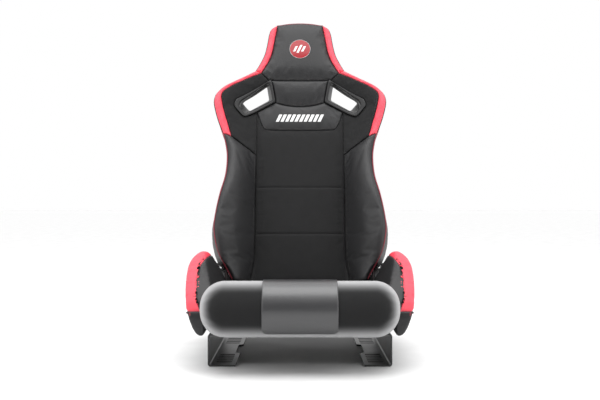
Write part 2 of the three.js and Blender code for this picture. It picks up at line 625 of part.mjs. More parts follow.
addPair(backrest, 'head_trim', pad(headTrimOutline), RED_LEATHER);
addPart(backrest, 'bridge_pad', clearOfBezels(pad(bridgeOutline)), LEATHER);
addPart(backrest, 'yoke_panel', clearOfBezels(pad(yokeOutline)), LEATHER);
addPair(backrest, 'harness_bezel', harnessBezel(), PLASTIC);
addPart(backrest, 'emblem_disc', emblemDisc(31, -1, 1.5), EMBLEM);
addPart(backrest, 'back_shell', backShell(), PLASTIC);

// ---- Origin at the bottom centre of the box ----------------------------------------------

group.updateMatrixWorld(true);
const bounds = new THREE.Box3().setFromObject(group, true);
const centre = bounds.getCenter(new THREE.Vector3());
group.position.set(-centre.x, -centre.y, -bounds.min.z);

export default group;
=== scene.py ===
# %% [markdown]
# A racing seat is a steel frame on slide rails, wrapped in foam, leather and woven cloth.
# The frame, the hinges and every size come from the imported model. It is loaded first and stays as it is,
# and this lesson builds the upholstery, the mouldings and the finishes around it.

# %% Load the fixed frame
import json
import math

import bmesh
import bpy
import numpy as np
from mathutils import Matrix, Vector, geometry
from mathutils.bvhtree import BVHTree


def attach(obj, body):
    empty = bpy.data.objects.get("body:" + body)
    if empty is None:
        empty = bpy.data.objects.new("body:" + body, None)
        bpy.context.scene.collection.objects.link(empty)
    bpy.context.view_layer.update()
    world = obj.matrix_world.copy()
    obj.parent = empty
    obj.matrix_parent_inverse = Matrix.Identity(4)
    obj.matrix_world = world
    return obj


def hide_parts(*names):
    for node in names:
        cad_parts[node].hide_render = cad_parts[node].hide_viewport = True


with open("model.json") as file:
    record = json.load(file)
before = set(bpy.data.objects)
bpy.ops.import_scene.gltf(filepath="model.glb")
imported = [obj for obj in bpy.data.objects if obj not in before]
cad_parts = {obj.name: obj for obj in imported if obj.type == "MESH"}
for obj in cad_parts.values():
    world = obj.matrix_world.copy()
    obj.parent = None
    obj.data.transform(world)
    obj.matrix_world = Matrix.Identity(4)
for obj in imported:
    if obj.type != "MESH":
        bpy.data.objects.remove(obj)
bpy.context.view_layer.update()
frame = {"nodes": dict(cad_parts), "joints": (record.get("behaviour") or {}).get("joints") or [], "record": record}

MM = 0.001
nodes = frame["nodes"]


def placed(name, data):
    """A new object, put into the scene."""
    made = bpy.data.objects.new(name, data)
    bpy.context.collection.objects.link(made)
    return made


hinge = Vector(next(j["pos_m"] for j in frame["joints"] if j["name"] == "backrest_recline"))
print("nodes:", len(nodes), " recline axis at", tuple(round(c, 4) for c in hinge))

# %% [markdown]
# The camera stands straight ahead of the seat, a little above the cushion, with a normal lens.
# Looking level keeps every upright line upright, which is how catalogue pictures of seats are taken.

# %% Camera
camera_data = bpy.data.cameras.new("camera")
camera_data.lens = 50
camera_data.sensor_width = 36
camera = placed("camera", camera_data)
camera.location = (0, -2.2004, 0.39)
camera.rotation_euler = (math.radians(90), 0, 0)
bpy.context.scene.camera = camera
bpy.context.scene.view_settings.view_transform = "Standard"
print("camera at", tuple(camera.location))

# %% [markdown]
# Black upholstery is shown by what it reflects, so the studio matters more than the lamps.
# The room is white behind and above the seat and dim in front of it, so faces that look at the camera
# stay dark and their rounded edges catch the light.

# %% Studio
def node_tree(owner):
    owner.use_nodes = True
    owner.node_tree.nodes.clear()
    return owner.node_tree


def add_node(tree, kind, inputs=None, **settings):
    """A shader node with its settings, and its inputs set to numbers or linked to other sockets."""
    made = tree.nodes.new(kind)
    for key, value in settings.items():
        setattr(made, key, value)
    for key, value in (inputs or {}).items():
        if isinstance(value, bpy.types.NodeSocket):
            tree.links.new(value, made.inputs[key])
        else:
            made.inputs[key].default_value = value
    return made


def room_light(front, back, above):
    world = bpy.data.worlds.new("room")
    bpy.context.scene.world = world
    tree = node_tree(world)
    way = add_node(tree, "ShaderNodeSeparateXYZ",
                   {0: add_node(tree, "ShaderNodeTexCoord").outputs["Generated"]})
    depth = add_node(tree, "ShaderNodeMapRange", {0: way.outputs["Y"], 1: -0.5, 2: 0.6, 3: front, 4: back},
                     interpolation_type="SMOOTHSTEP")
    height = add_node(tree, "ShaderNodeMapRange", {0: way.outputs["Z"], 1: 0.25, 2: 0.9, 3: 0.0, 4: above},
                      interpolation_type="SMOOTHSTEP")
    total = add_node(tree, "ShaderNodeMath", {0: depth.outputs[0], 1: height.outputs[0]}, operation="ADD")
    light = add_node(tree, "ShaderNodeBackground", {"Color": (1, 1, 1, 1), "Strength": total.outputs[0]})
    add_node(tree, "ShaderNodeOutputWorld", {"Surface": light.outputs[0]})


def softbox(name, place, target, width, height, power):
    lamp = bpy.data.lights.new(name, "AREA")
    lamp.shape, lamp.size, lamp.size_y, lamp.energy = "RECTANGLE", width, height, power
    holder = placed(name, lamp)
    holder.location = place
    holder.rotation_euler = (Vector(target) - Vector(place)).to_track_quat("-Z", "Y").to_euler()


room_light(front=0.22, back=1.0, above=0.9)
softbox("overhead", (0, -0.7, 2.6), (0, 0, 0.3), 2.6, 1.8, 52)
softbox("left_strip", (1.9, -1.0, 0.9), (0, 0.0, 0.5), 0.5, 1.8, 15)
softbox("right_strip", (-1.9, -1.0, 0.9), (0, 0.0, 0.5), 0.5, 1.8, 15)
print("lights: room and 3 softboxes")

# %% [markdown]
# Finishes come before the pieces that wear them. Leather is a fine pebble grain under a satin top coat:
# small cells for the pebbles, a slower noise for the soft unevenness of hide, and a little wear where an
# edge sticks out. Every finish is mixed from nodes in the piece's own space, so nothing slides or repeats.

# %% Leather
def wear_mask(tree, strength):
    """Near 1 on outward edges and 0 on flats."""
    point = add_node(tree, "ShaderNodeNewGeometry").outputs["Pointiness"]
    return add_node(tree, "ShaderNodeMapRange", {0: point, 1: 0.5, 2: 0.58, 3: 0.0, 4: strength}).outputs[0]


def blended(tree, amount, first, second):
    """A colour between two others."""
    mix = add_node(tree, "ShaderNodeMix", {0: amount}, data_type="RGBA")
    for socket, colour in ((mix.inputs[6], first), (mix.inputs[7], second)):
        if isinstance(colour, bpy.types.NodeSocket):
            tree.links.new(colour, socket)
        else:
            socket.default_value = (*colour, 1)
    return mix.outputs[2]


def spread(tree, source, low, high):
    return add_node(tree, "ShaderNodeMapRange", {0: source, 3: low, 4: high}).outputs[0]


def surface(name, tree_of, **constants):
    """A material whose colour, roughness and bump come from tree_of, and whose other sockets are constant."""
    made = bpy.data.materials.new(name)
    tree = node_tree(made)
    place = add_node(tree, "ShaderNodeTexCoord").outputs["Object"]
    colour, rough, relief, depth = tree_of(tree, place)
    bump = add_node(tree, "ShaderNodeBump", {"Height": relief, "Distance": depth, "Strength": 1.0})
    shader = add_node(tree, "ShaderNodeBsdfPrincipled",
                      {"Base Color": colour, "Roughness": rough, "Normal": bump.outputs[0], **constants})
    add_node(tree, "ShaderNodeOutputMaterial", {"Surface": shader.outputs[0]})
    return made


def noise(tree, place, scale, detail):
    """Cloudy values from 0 to 1."""
    inputs = {"Vector": place, "Scale": scale, "Detail": detail}
    return add_node(tree, "ShaderNodeTexNoise", inputs).outputs[0]


def leather(name, base, worn, rough, **constants):
    def tree_of(tree, place):
        hide = noise(tree, place, 14.0, 3.0)
        pebble = add_node(tree, "ShaderNodeTexVoronoi", {"Vector": place, "Scale": 620.0}).outputs[0]
        fine = noise(tree, place, 1500.0, 1.0)
        grain = add_node(tree, "ShaderNodeMath", {0: pebble, 1: fine}, operation="ADD").outputs[0]
        darker = tuple(c * 0.82 for c in base)
        colour = blended(tree, spread(tree, hide, 0.0, 1.0), darker, base)
        colour = blended(tree, wear_mask(tree, 0.55), colour, worn)
        return colour, spread(tree, hide, rough - 0.05, rough + 0.07), grain, 0.00022
    return surface(name, tree_of, **constants)


black_leather = leather("black_leather", (0.017, 0.017, 0.018), (0.045, 0.045, 0.047), 0.44,
                        **{"Specular IOR Level": 0.38})
insert_leather = leather("insert_leather", (0.03, 0.03, 0.032), (0.034, 0.034, 0.036), 0.3,
                         **{"Specular IOR Level": 0.7, "Coat Weight": 0.35, "Coat Roughness": 0.2})
red_leather = leather("red_leather", (0.92, 0.055, 0.092), (0.96, 0.14, 0.18), 0.5,
                      **{"Specular IOR Level": 0.45})
print("leathers:", black_leather.name, insert_leather.name, red_leather.name)

# %% [markdown]
# Woven cloth is two sets of threads that pass over and under each other. Two crossed waves give the
# threads their round backs, and a softer noise stops the weave from looking printed. The front roll is
# covered in velour, whose standing fibres catch light at their tips, so it has a strong sheen. Part of
# that sheen is painted: its colour turns pale where the surface faces away from the view.

# %% Cloth
def cloth(name, base, thread, tilt, rough, lift, painted_sheen=None, **constants):
    """Threads of that width across and along a face that leans back by tilt. painted_sheen is the pale colour
    painted where the surface faces away from the view: a painted sheen for the light velvet hairs catch."""
    def tree_of(tree, place):
        flat = add_node(tree, "ShaderNodeMapping", {"Vector": place, "Rotation": (tilt, 0.0, 0.0)}).outputs[0]
        wave = {"Vector": flat, "Scale": math.pi / thread / 20, "Distortion": 0.6, "Detail": 1.0}
        weft, warp = (add_node(tree, "ShaderNodeTexWave", wave, bands_direction=way).outputs[1]
                      for way in "XZ")
        weave = add_node(tree, "ShaderNodeMath", {0: weft, 1: warp}, operation="MULTIPLY").outputs[0]
        fuzz = noise(tree, place, 900.0, 2.0)
        slub = noise(tree, flat, 45.0, 2.0)
        relief = add_node(tree, "ShaderNodeMath", {0: weave, 1: fuzz}, operation="ADD").outputs[0]
        shade = add_node(tree, "ShaderNodeMath", {0: weave, 1: slub}, operation="MULTIPLY").outputs[0]
        colour = blended(tree, shade, tuple(c * 0.7 for c in base), tuple(c * lift for c in base))
        # Painted sheen: the colour turns pale where the surface faces away from the view, in place of light caught
        # by the pile.
        if painted_sheen:
            aside = add_node(tree, "ShaderNodeLayerWeight", {"Blend": 0.5}).outputs["Facing"]
            glow = add_node(tree, "ShaderNodeMapRange", {0: aside, 1: 0.16, 2: 0.7, 3: 0.0, 4: 1.0},
                            interpolation_type="SMOOTHSTEP").outputs[0]
            colour = blended(tree, glow, colour, painted_sheen)
        return colour, spread(tree, fuzz, rough - 0.06, rough + 0.06), relief, 0.0003
    return surface(name, tree_of, **constants)


seat_fabric = cloth("seat_fabric", (0.013, 0.013, 0.0135), 0.0011, math.radians(18), 0.85, 1.9,
                    **{"Sheen Weight": 0.12, "Sheen Roughness": 0.4, "Specular IOR Level": 0.3})
# The roll's velour gets a painted sheen: pale grey colour where its surface faces away from the view.
roll_cover = cloth("roll_cover", (0.012, 0.012, 0.0125), 0.0008, 0.0, 0.85, 1.5, painted_sheen=(0.34, 0.34, 0.345),
                   **{"Sheen Weight": 0.2, "Sheen Roughness": 0.4, "Specular IOR Level": 0.25})
foam = cloth("foam", (0.5, 0.45, 0.33), 0.0035, 0.0, 0.95, 1.1, **{"Specular IOR Level": 0.1})
print("cloths:", seat_fabric.name, roll_cover.name, foam.name)

# %% [markdown]
# Mouldings have a fine spark-eroded texture. Powder coat flows before it sets, so it dimples like orange
# peel. Zinc plate and spring wire keep the lines of the drawing die, so their roughness runs in streaks.

# %% Plastics and metals
def moulded(name, base, rough, grain=1100.0, depth=0.00012, **constants):
    def tree_of(tree, place):
        skin = noise(tree, place, grain, 2.0)
        cloud = noise(tree, place, 9.0, 3.0)
        colour = blended(tree, spread(tree, cloud, 0.0, 1.0), tuple(c * 0.8 for c in base), base)
        colour = blended(tree, wear_mask(tree, 0.6), colour, tuple(min(1, c * 2.4) for c in base))
        return colour, spread(tree, cloud, rough - 0.06, rough + 0.08), skin, depth
    return surface(name, tree_of, **constants)


def drawn_metal(name, base, rough):
    def tree_of(tree, place):
        drawn = {"Vector": place, "Scale": (900.0, 12.0, 900.0)}
        along = add_node(tree, "ShaderNodeMapping", drawn).outputs[0]
        streak = noise(tree, along, 1.0, 3.0)
        bloom = add_node(tree, "ShaderNodeTexVoronoi", {"Vector": place, "Scale": 90.0}).outputs["Color"]
        colour = blended(tree, spread(tree, streak, 0.0, 0.5), base, tuple(c * 0.75 for c in base))
        colour = blended(tree, spread(tree, bloom, 0.0, 0.12), colour, (1.0, 0.98, 0.9))
        return colour, spread(tree, streak, rough - 0.08, rough + 0.12), streak, 0.00004
    return surface(name, tree_of, Metallic=1.0)


black_plastic = moulded("black_plastic", (0.012, 0.012, 0.0125), 0.44)
shell_plastic = moulded("shell_plastic", (0.009, 0.009, 0.0095), 0.6, grain=700.0, depth=0.0002,
                        **{"Specular IOR Level": 0.25})
black_steel = moulded("black_steel", (0.018, 0.018, 0.019), 0.4, grain=420.0, depth=0.00015,
                      **{"Metallic": 0.25, "Specular IOR Level": 0.6})
bright_steel = drawn_metal("bright_steel", (0.62, 0.63, 0.64), 0.32)
spring_steel = drawn_metal("spring_steel", (0.3, 0.3, 0.31), 0.4)
enamel_red = moulded("enamel_red", (0.33, 0.007, 0.015), 0.35, grain=60.0, depth=0.00003,
                     **{"Coat Weight": 0.25, "Coat Roughness": 0.1, "Specular IOR Level": 0.3})
enamel_white = moulded("enamel_white", (0.86, 0.86, 0.86), 0.3, grain=60.0, depth=0.00003,
                       **{"Coat Weight": 0.6, "Coat Roughness": 0.08})
piping_red = leather("piping_red", (0.17, 0.008, 0.02), (0.3, 0.03, 0.05), 0.5, **{"Specular IOR Level": 0.5})
piping_black = leather("piping_black", (0.008, 0.008, 0.0085), (0.02, 0.02, 0.02), 0.5,
                       **{"Specular IOR Level": 0.3})
thread_black = drawn_metal("thread_black", (0.03, 0.03, 0.032), 0.6)
thread_red = moulded("thread_red", (0.42, 0.03, 0.06), 0.6, grain=2500.0)
floor_paint = moulded("floor_paint", (0.9, 0.9, 0.9), 0.6, grain=40.0, depth=0.00001)
print("finishes:", len(bpy.data.materials))

# %% [markdown]
# Frames, rails and brackets already have their true shape, so they keep it. Folded sheet and cut bar never
# have razor edges: a small bevel, which only this view sees, rounds them so that they catch a line of light.

# %% Finish the frame and the mechanisms
SLOT_FINISH = {
    "black_steel": black_steel, "bright_steel": bright_steel, "spring_steel": spring_steel, "foam": foam,
    "seat_fabric": seat_fabric, "roll_cover": roll_cover, "insert_leather": insert_leather,
    "black_leather": black_leather, "red_leather": red_leather, "black_plastic": black_plastic,
    "shell_plastic": shell_plastic, "emblem": enamel_red,
}
slot_of = {part["node"]: part["material_slot"] for part in frame["record"]["subparts"]}


def rounded_edges(piece, width, sides=2, angle=28):
    bevel = piece.modifiers.new("edges", "BEVEL")
    bevel.width, bevel.segments, bevel.limit_method = width, sides, "ANGLE"
    bevel.angle_limit = math.radians(angle)
    bevel.harden_normals = True


for name, node in nodes.items():
    node.data.materials.clear()
    # The recliner's tooth and guide discs wear the darker spring steel in place of bright steel: painted shade, so
    # they stay dark in the shaded gap by the hinge.
    shade_darkened_disc = "tooth_disc" in name or "guide_disc" in name
    node.data.materials.append(spring_steel if shade_darkened_disc else SLOT_FINISH[slot_of[name]])
HARD_SLOTS = ("black_steel", "bright_steel", "black_plastic")
for name, node in nodes.items():
    if slot_of[name] in HARD_SLOTS and "bezel" not in name and "spring" not in name:
        rounded_edges(node, 0.9 * MM if "bracket" in name else 0.6 * MM)
print("finished", len(nodes), "frame pieces")

# %% [markdown]
# Upholstery is drawn flat first. A pattern cutter draws each cover as an outline, and so does this lesson:
# x across the seat and s up the leaning back, in millimetres. Smooth stretches pass through a few chosen
# points, and stretches that meet at a corner keep it.

# %% Curves and outlines
STEP = 4.2                              # spacing of points on a cover, in mm
SEAM_GAP = 0.2                          # how far each cover stays from its neighbour


def smooth(points, steps=60):
    """Points along a curve that passes through every given point."""
    p = np.array(points, float)
    p = np.vstack([p[:1], p, p[-1:]])
    at = np.linspace(0, len(points) - 1, steps + 1)
    i = np.minimum(at.astype(int), len(points) - 2)
    t = (at - i)[:, None]
    a, b, c, d = p[i], p[i + 1], p[i + 2], p[i + 3]
    bend, twist = 2 * a - 5 * b + 4 * c - d, 3 * b - a - 3 * c + d
    return 0.5 * (2 * b + (c - a) * t + bend * t ** 2 + twist * t ** 3)


def evenly(points, step):
    """The same open line with points a step apart."""
    p = np.array(points, float)
    along = np.concatenate([[0], np.cumsum(np.linalg.norm(np.diff(p, axis=0), axis=1))])
    at = np.linspace(0, along[-1], max(1, round(along[-1] / step)) + 1)
    return np.stack([np.interp(at, along, p[:, k]) for k in range(p.shape[1])], 1)


def flip(points):
    """The same stretch on the other side of the seat, walked the other way."""
    return (np.array(points, float) * (-1, 1))[::-1]


def outline(*stretches):
    """A closed anticlockwise loop through stretches, with its points evenly spaced between corners."""
    whole = []
    for i, stretch in enumerate(stretches):
        here = np.array(stretch, float)
        ahead = np.array(stretches[(i + 1) % len(stretches)], float)[0]
        if len(here) > 1:
            whole.append(evenly(here, STEP))
        whole.append(evenly([here[-1], ahead], STEP))
    points = np.vstack(whole)
    kept = np.linalg.norm(points - np.roll(points, 1, 0), axis=1) > STEP * 0.3
    points = points[kept]
    x, y = points.T
    area = (x * np.roll(y, -1) - np.roll(x, -1) * y).sum()
    return points if area > 0 else points[::-1]


def inset(loop, distance):
    """The loop moved inwards by a distance."""
    before, after = loop - np.roll(loop, 1, 0), np.roll(loop, -1, 0) - loop
    before /= np.linalg.norm(before, axis=1)[:, None]
    after /= np.linalg.norm(after, axis=1)[:, None]
    inward = before + after
    inward = np.stack([-inward[:, 1], inward[:, 0]], 1)
    inward /= np.linalg.norm(inward, axis=1)[:, None]
    square = np.stack([-before[:, 1], before[:, 0]], 1)
    stretch = distance / np.maximum(0.4, (inward * square).sum(1))
    return loop + inward * stretch[:, None]


def within(points, loop):
    a, b = loop, np.roll(loop, -1, 0)
    x, y = points[:, :1], points[:, 1:]
    rise = np.where(a[:, 1] == b[:, 1], 1e-9, b[:, 1] - a[:, 1])
    crosses = ((a[:, 1] > y) != (b[:, 1] > y)) & (x < a[:, 0] + (y - a[:, 1]) * (b[:, 0] - a[:, 0]) / rise)
    return crosses.sum(1) % 2 == 1


def edge_distance(points, loop):
    a, b = loop, np.roll(loop, -1, 0)
    side = b - a
    reach = points[:, None] - a
    t = np.clip((reach * side).sum(2) / (side ** 2).sum(1), 0, 1)
    return np.linalg.norm(reach - t[..., None] * side, axis=2).min(1)


print("outline tools ready, points every", STEP, "mm")

# %% [markdown]
# These are the patterns for the back. The outer edge runs up the side bolster, round the shoulder and up
# the head. The seams inside it split the back into covers that a sewing machine can join.

# %% Patterns for the back
SIDE_EDGE = smooth([[177.5, -13], [203, 33], [218, 62], [227, 94], [232, 132], [228, 178],
                    [219, 232], [207, 290], [205, 349], [211, 392], [219.5, 425]])
SHOULDER_EDGE = smooth([[219.5, 425], [234, 463], [244, 498], [248, 522], [245, 542], [237, 557],
                        [221.5, 575], [200, 590], [163, 612], [130, 631.5]])
HEAD_EDGE = smooth([[130, 631.5], [117, 656], [104.7, 684.5], [98.5, 710], [94.6, 733], [91, 756],
                    [84, 774], [68.6, 785]])
HEAD_TOP = smooth([[68.6, 785], [35, 791], [0, 793], [-35, 791], [-68.6, 785]])
SHOULDER_SEAM = smooth([[197, 417], [211, 466], [221, 500], [228.5, 541], [222.7, 557],
                        [208.5, 571], [181, 589.5], [144.5, 610], [115, 625]])
HEAD_SEAM = smooth([[115, 625], [101, 650], [89.3, 676], [81.5, 706], [77, 735], [72, 762], [68.6, 785]])
BOLSTER_SEAM = smooth([[137, -8], [128, 60], [126.5, 122], [126.5, 373]])
RIM_EDGE = smooth([[197, -10], [200, 14], [209, 36], [226, 66], [237, 86], [241, 104], [240, 140],
                   [228, 178]])
PANEL_RIM = smooth([[209, 35], [221, 45], [231, 60], [237, 80], [241, 104], [240, 140], [228, 178]])
SMILE = smooth([[72.5, 538], [36, 529], [0, 526], [-36, 529], [-72.5, 538]])
YOKE_FOOT = smooth([[120, 490], [109, 463], [98, 453.5], [50, 451], [0, 450]])
YOKE_SIDE = np.vstack([[[126.5, 508.4]], YOKE_FOOT])
BEZEL = [smooth([[92, 600], [86, 603], [83, 597]], 8), smooth([[73.5, 546], [73, 539], [79, 535]], 8),
         smooth([[154, 493], [163, 489.5], [171, 494]], 8), smooth([[187, 511], [191.5, 519], [186, 536]], 8)]
PANEL_FOOT, PANEL_TOP = 36, 178         # where the dark side panel starts and ends, as s
lowest_side = (SIDE_EDGE[:, 1] > PANEL_FOOT) & (SIDE_EDGE[:, 1] < PANEL_TOP)
lowest_rim = (PANEL_RIM[:, 1] > PANEL_FOOT) & (PANEL_RIM[:, 1] < PANEL_TOP)

PATTERNS = {
    "back_centre_panel": [BOLSTER_SEAM, YOKE_SIDE, flip(YOKE_SIDE), flip(BOLSTER_SEAM)],
    "shoulder_wing": [[[126.5, 373]], SHOULDER_SEAM, [[93, 604.5]],
                      smooth([[94, 600], [140, 565], [186, 537]], 20), BEZEL[3][::-1], BEZEL[2][::-1],
                      [[126.5, 508.4]]],
    "back_bolster": [BOLSTER_SEAM, [[197, 417], [219.5, 425]], SIDE_EDGE[::-1]],
    "back_side_panel": [SIDE_EDGE[lowest_side], [[228, 178]], PANEL_RIM[lowest_rim][::-1]],
    "shoulder_trim": [SHOULDER_EDGE, SHOULDER_SEAM[::-1]],
    "head_trim": [HEAD_EDGE, HEAD_SEAM[::-1]],
    "head_pad": [HEAD_SEAM, HEAD_TOP, flip(HEAD_SEAM), [[-93, 604.5], [93, 604.5]]],
    "bridge_pad": [[[84.5, 604.5], [-84.5, 604.5]], SMILE[::-1]],
    "yoke_panel": [SMILE, flip(YOKE_SIDE)[::-1][:1], flip(YOKE_SIDE)[::-1], YOKE_SIDE[::-1]],
}
loops = {name: outline(*stretches) for name, stretches in PATTERNS.items()}
for name, loop in loops.items():
    print(f"{name}: {len(loop)} points, {np.ptp(loop[:, 0]):.0f} x {np.ptp(loop[:, 1]):.0f} mm")

# %% [markdown]
# The back is a shallow valley: flat where the spine rests, rising to a ridge at each side. One height
# formula gives that shape everywhere, so neighbouring covers meet exactly. It is measured as n, forwards
# from the flat of the centre panel, and the whole back leans on the recline axis.

# %% Shape of the back
RECLINE = math.radians(18)
back_foot = hinge + Vector((0, -57 * MM, 3 * MM))
up_back = Vector((0, math.sin(RECLINE), math.cos(RECLINE)))
out_front = Vector((0, -math.cos(RECLINE), math.sin(RECLINE)))
PAD_BACK = -16                          # back plane of every cover on the back, as n
HEIGHTS = smooth([[-13, 70], [33, 80], [94, 93], [132, 95], [178, 92], [232, 85], [290, 70], [349, 55],
                  [425, 44], [522, 48], [575, 38], [612, 28], [650, 24], [793, 20]], 200)
OUTER_EDGE = np.vstack([SIDE_EDGE, SHOULDER_EDGE, HEAD_EDGE])


def on_back(x, s, n):
    """Row-frame points, in metres, from the back's own millimetres."""
    x, s, n = (np.asarray(v, float) for v in np.broadcast_arrays(x, s, n))
    return np.stack([x * MM, back_foot.y + (s * up_back.y + n * out_front.y) * MM,
                     back_foot.z + (s * up_back.z + n * out_front.z) * MM], -1)


def ease(value, start, end):
    t = np.clip((value - start) / (end - start), 0, 1)
    return t * t * (3 - 2 * t)


def half_width(s):
    return np.interp(s, OUTER_EDGE[:, 1], OUTER_EDGE[:, 0])


def back_height(x, s):
    centre = 18 * ease(s, 500, 650)
    flat = 126 - 66 * ease(s, 500, 640)
    edge = half_width(s)
    across = np.clip((np.abs(x) - flat) / (edge - flat), 0, 1)
    power = 1.2 + 0.6 * ease(s, 373, 430)
    rise = centre + (np.interp(s, *HEIGHTS.T) - centre) * np.sin(1.75 * across ** power)
    beyond = np.clip((np.abs(x) - edge) / 22, 0, 1)
    return np.where(s < PANEL_TOP, rise * (1 - beyond) - 6 * beyond, rise)


print("bolster ridge stands", round(float(back_height(215.0, 130.0)), 1), "mm proud at the waist")

# %% [markdown]
# A cover becomes a pad in three moves: fill its outline with small triangles, lift them to the height
# formula with a rounded edge, and close the sides and the back. Rings of points close to the edge keep
# the rounding smooth where the cover turns down into its seam.

# %% Pads from patterns
RING_OFFSETS = (0.9, 2.3, 4.4)


def fill(loop, channels=(), step=STEP, holes=()):
    """Points inside a loop, and triangles between them. The loop's own points come first."""
    low, high = loop.min(0), loop.max(0)
    rows = np.arange(low[1], high[1], step * 0.87)
    rows = rows[[all(abs(row - at) > 6 for at in channels) for row in rows]]
    rows = np.sort(np.concatenate([rows, *[np.array([-5, -2.5, -1, 0, 1, 2.5, 5]) + at for at in channels]]))
    columns = np.arange(low[0], high[0], step)
    grid = np.array([(x + step / 2 * (j % 2), y) for j, y in enumerate(rows) for x in columns])
    grid = grid[within(grid, loop)]
    inner = grid[edge_distance(grid, loop) > RING_OFFSETS[-1] + step * 0.6]
    for hole in holes:
        inner = inner[~within(inner, hole) & (edge_distance(inner, hole) > step * 0.5)]
    rings = []
    for offset in RING_OFFSETS:
        ring = inset(loop, offset)
        ring = ring[within(ring, loop)]
        rings.append(ring[edge_distance(ring, loop) > offset * 0.85])
    points = np.vstack([loop, *rings, *holes, inner])
    result = geometry.delaunay_2d_cdt([Vector(p) for p in points], [], [list(range(len(loop)))], 1, 1e-4)
    flat, triangles, origins = result[0], result[2], result[3]
    order = np.argsort([min(ids) if ids else len(points) + k for k, ids in enumerate(origins)], kind="stable")
    rank = np.argsort(order)
    points = np.array(flat)[order]
    triangles = [[int(rank[v]) for v in t] for t in triangles]
    for hole in holes:
        gone = within(np.array([points[t].mean(0) for t in triangles]), hole)
        triangles = [t for t, drop in zip(triangles, gone) if not drop]
    return points, triangles


def new_piece(name, points, faces, finish):
    mesh = bpy.data.meshes.new(name)
    mesh.from_pydata([tuple(p) for p in points], [], faces)
    work = bmesh.new()
    work.from_mesh(mesh)
    bmesh.ops.recalc_face_normals(work, faces=work.faces)
    work.to_mesh(mesh)
    work.free()
    mesh.shade_smooth()
    mesh.materials.append(finish)
    return placed(name, mesh)


def quilt(name, loop, place, height, floor, finish, edge=5.0, crown=2.5, channels=(), depth=2.2):
    """A closed pad over a loop. place turns (across, along, height) into row-frame points.
    floor is a height, or a function of (across, along) like the top.
    Returns the piece and the numbers of its points that stay put when it is stuffed."""
    loop = inset(loop, SEAM_GAP)
    points, triangles = fill(loop, channels)
    count, rim = len(points), len(loop)
    x, s = points.T
    distance = edge_distance(points, loop)
    distance[:rim] = 0
    turn = np.clip(distance / edge, 0, 1)
    top = height(x, s) - edge * (1 - np.sqrt(1 - (1 - turn) ** 2)) + crown * (1 - np.exp(-distance / 16))
    for at in channels:
        top = top - depth * np.exp(-((s - at) / 2.2) ** 2) * np.clip(distance / 6, 0, 1)
    layers = [place(x, s, top)]
    bottom = floor(x[:rim], s[:rim]) if callable(floor) else floor
    for share in (0.4, 1.0):
        level = top[:rim] + (bottom - top[:rim]) * share
        layers.append(place(x[:rim], s[:rim], level))
    faces = list(triangles)
    rings = [range(rim), range(count, count + rim), range(count + rim, count + 2 * rim)]
    for upper, lower in zip(rings, rings[1:]):
        for i in range(rim):
            j = (i + 1) % rim
            faces.append([upper[i], upper[j], lower[j], lower[i]])
    base = geometry.delaunay_2d_cdt([Vector(p) for p in loop], [], [list(range(rim))], 1, 1e-4)
    faces += [[rings[2][v] for v in t][::-1] for t in base[2] if max(t) < rim]
    piece = new_piece(name, np.vstack(layers), faces, finish)
    held = [*range(rim), *range(count, count + 2 * rim)]
    return piece, held


print("pad maker ready")

# %% [markdown]
# Foam pushes a cover outwards until the leather is tight, and the seams hold it back. A short cloth
# simulation does the same: air pressure inside, seam points pinned, no gravity. How far any point may move
# is capped, because a foam pad is firm and must keep the size of its pattern.

# %% Stuffing by cloth simulation
def stuffed(piece, held, cap, pressure=4.0, slack=0.012, frames=20):
    """Swells a closed piece like a cover over foam. Points in held stay put; cap is in mm."""
    pinned = piece.vertex_groups.new(name="held")
    if len(held):
        pinned.add(list(held), 1.0, "REPLACE")
    cover = piece.modifiers.new("cover", "CLOTH")
    settings = cover.settings
    settings.quality = 4
    settings.use_pressure = True
    settings.uniform_pressure_force = pressure
    settings.effector_weights.gravity = 0
    settings.shrink_min = -slack
    settings.tension_stiffness = settings.compression_stiffness = 12
    settings.bending_stiffness = 1.5
    if len(held):
        settings.vertex_group_mass = pinned.name
    scene = bpy.context.scene
    for moment in range(1, frames + 1):
        scene.frame_set(moment)
    swollen = piece.evaluated_get(bpy.context.evaluated_depsgraph_get()).to_mesh()
    before, after = coordinates(piece.data), coordinates(swollen)
    move = after - before
    length = np.linalg.norm(move, axis=1)[:, None]
    limit = cap * MM
    move *= limit / (limit + length)
    piece.modifiers.remove(cover)
    piece.vertex_groups.remove(pinned)
    move_points(piece.data, before + move)
    scene.frame_set(1)
    most = float(length.max()) / MM
    print(f"{piece.name}: {len(before)} points, swells up to {most:.1f} mm before the cap")
    return piece


def coordinates(mesh):
    flat = np.zeros(len(mesh.vertices) * 3, np.float32)
    mesh.vertices.foreach_get("co", flat)
    return flat.reshape(-1, 3).astype(float)


def move_points(mesh, points):
    mesh.vertices.foreach_set("co", points.astype(np.float32).ravel())
    mesh.update()


# %% [markdown]
# Every pad of the back is cut, filled, lifted and stuffed in the same way. The leather covers get more
# foam than the cloth ones. Left and right covers are made from one pattern, so the right one is the
# left one turned over.

# %% Pads of the back
BODY_BACK, BODY_BASE = "backrest", "seat_base"
back_pads = []


def mirrored(piece, name):
    """The same piece on the other side of the seat."""
    twin = piece.copy()
    twin.data = piece.data.copy()
    twin.name = twin.data.name = name
    bpy.context.collection.objects.link(twin)
    move_points(twin.data, coordinates(twin.data) * (-1, 1, 1))
    twin.data.flip_normals()
    twin.data.update()
    return twin


def settle(piece, body, stands_for=()):
    """Says which body a piece moves with and which frame solids it stands for."""
    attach(piece, body)
    if stands_for:
        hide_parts(*stands_for)
    return piece


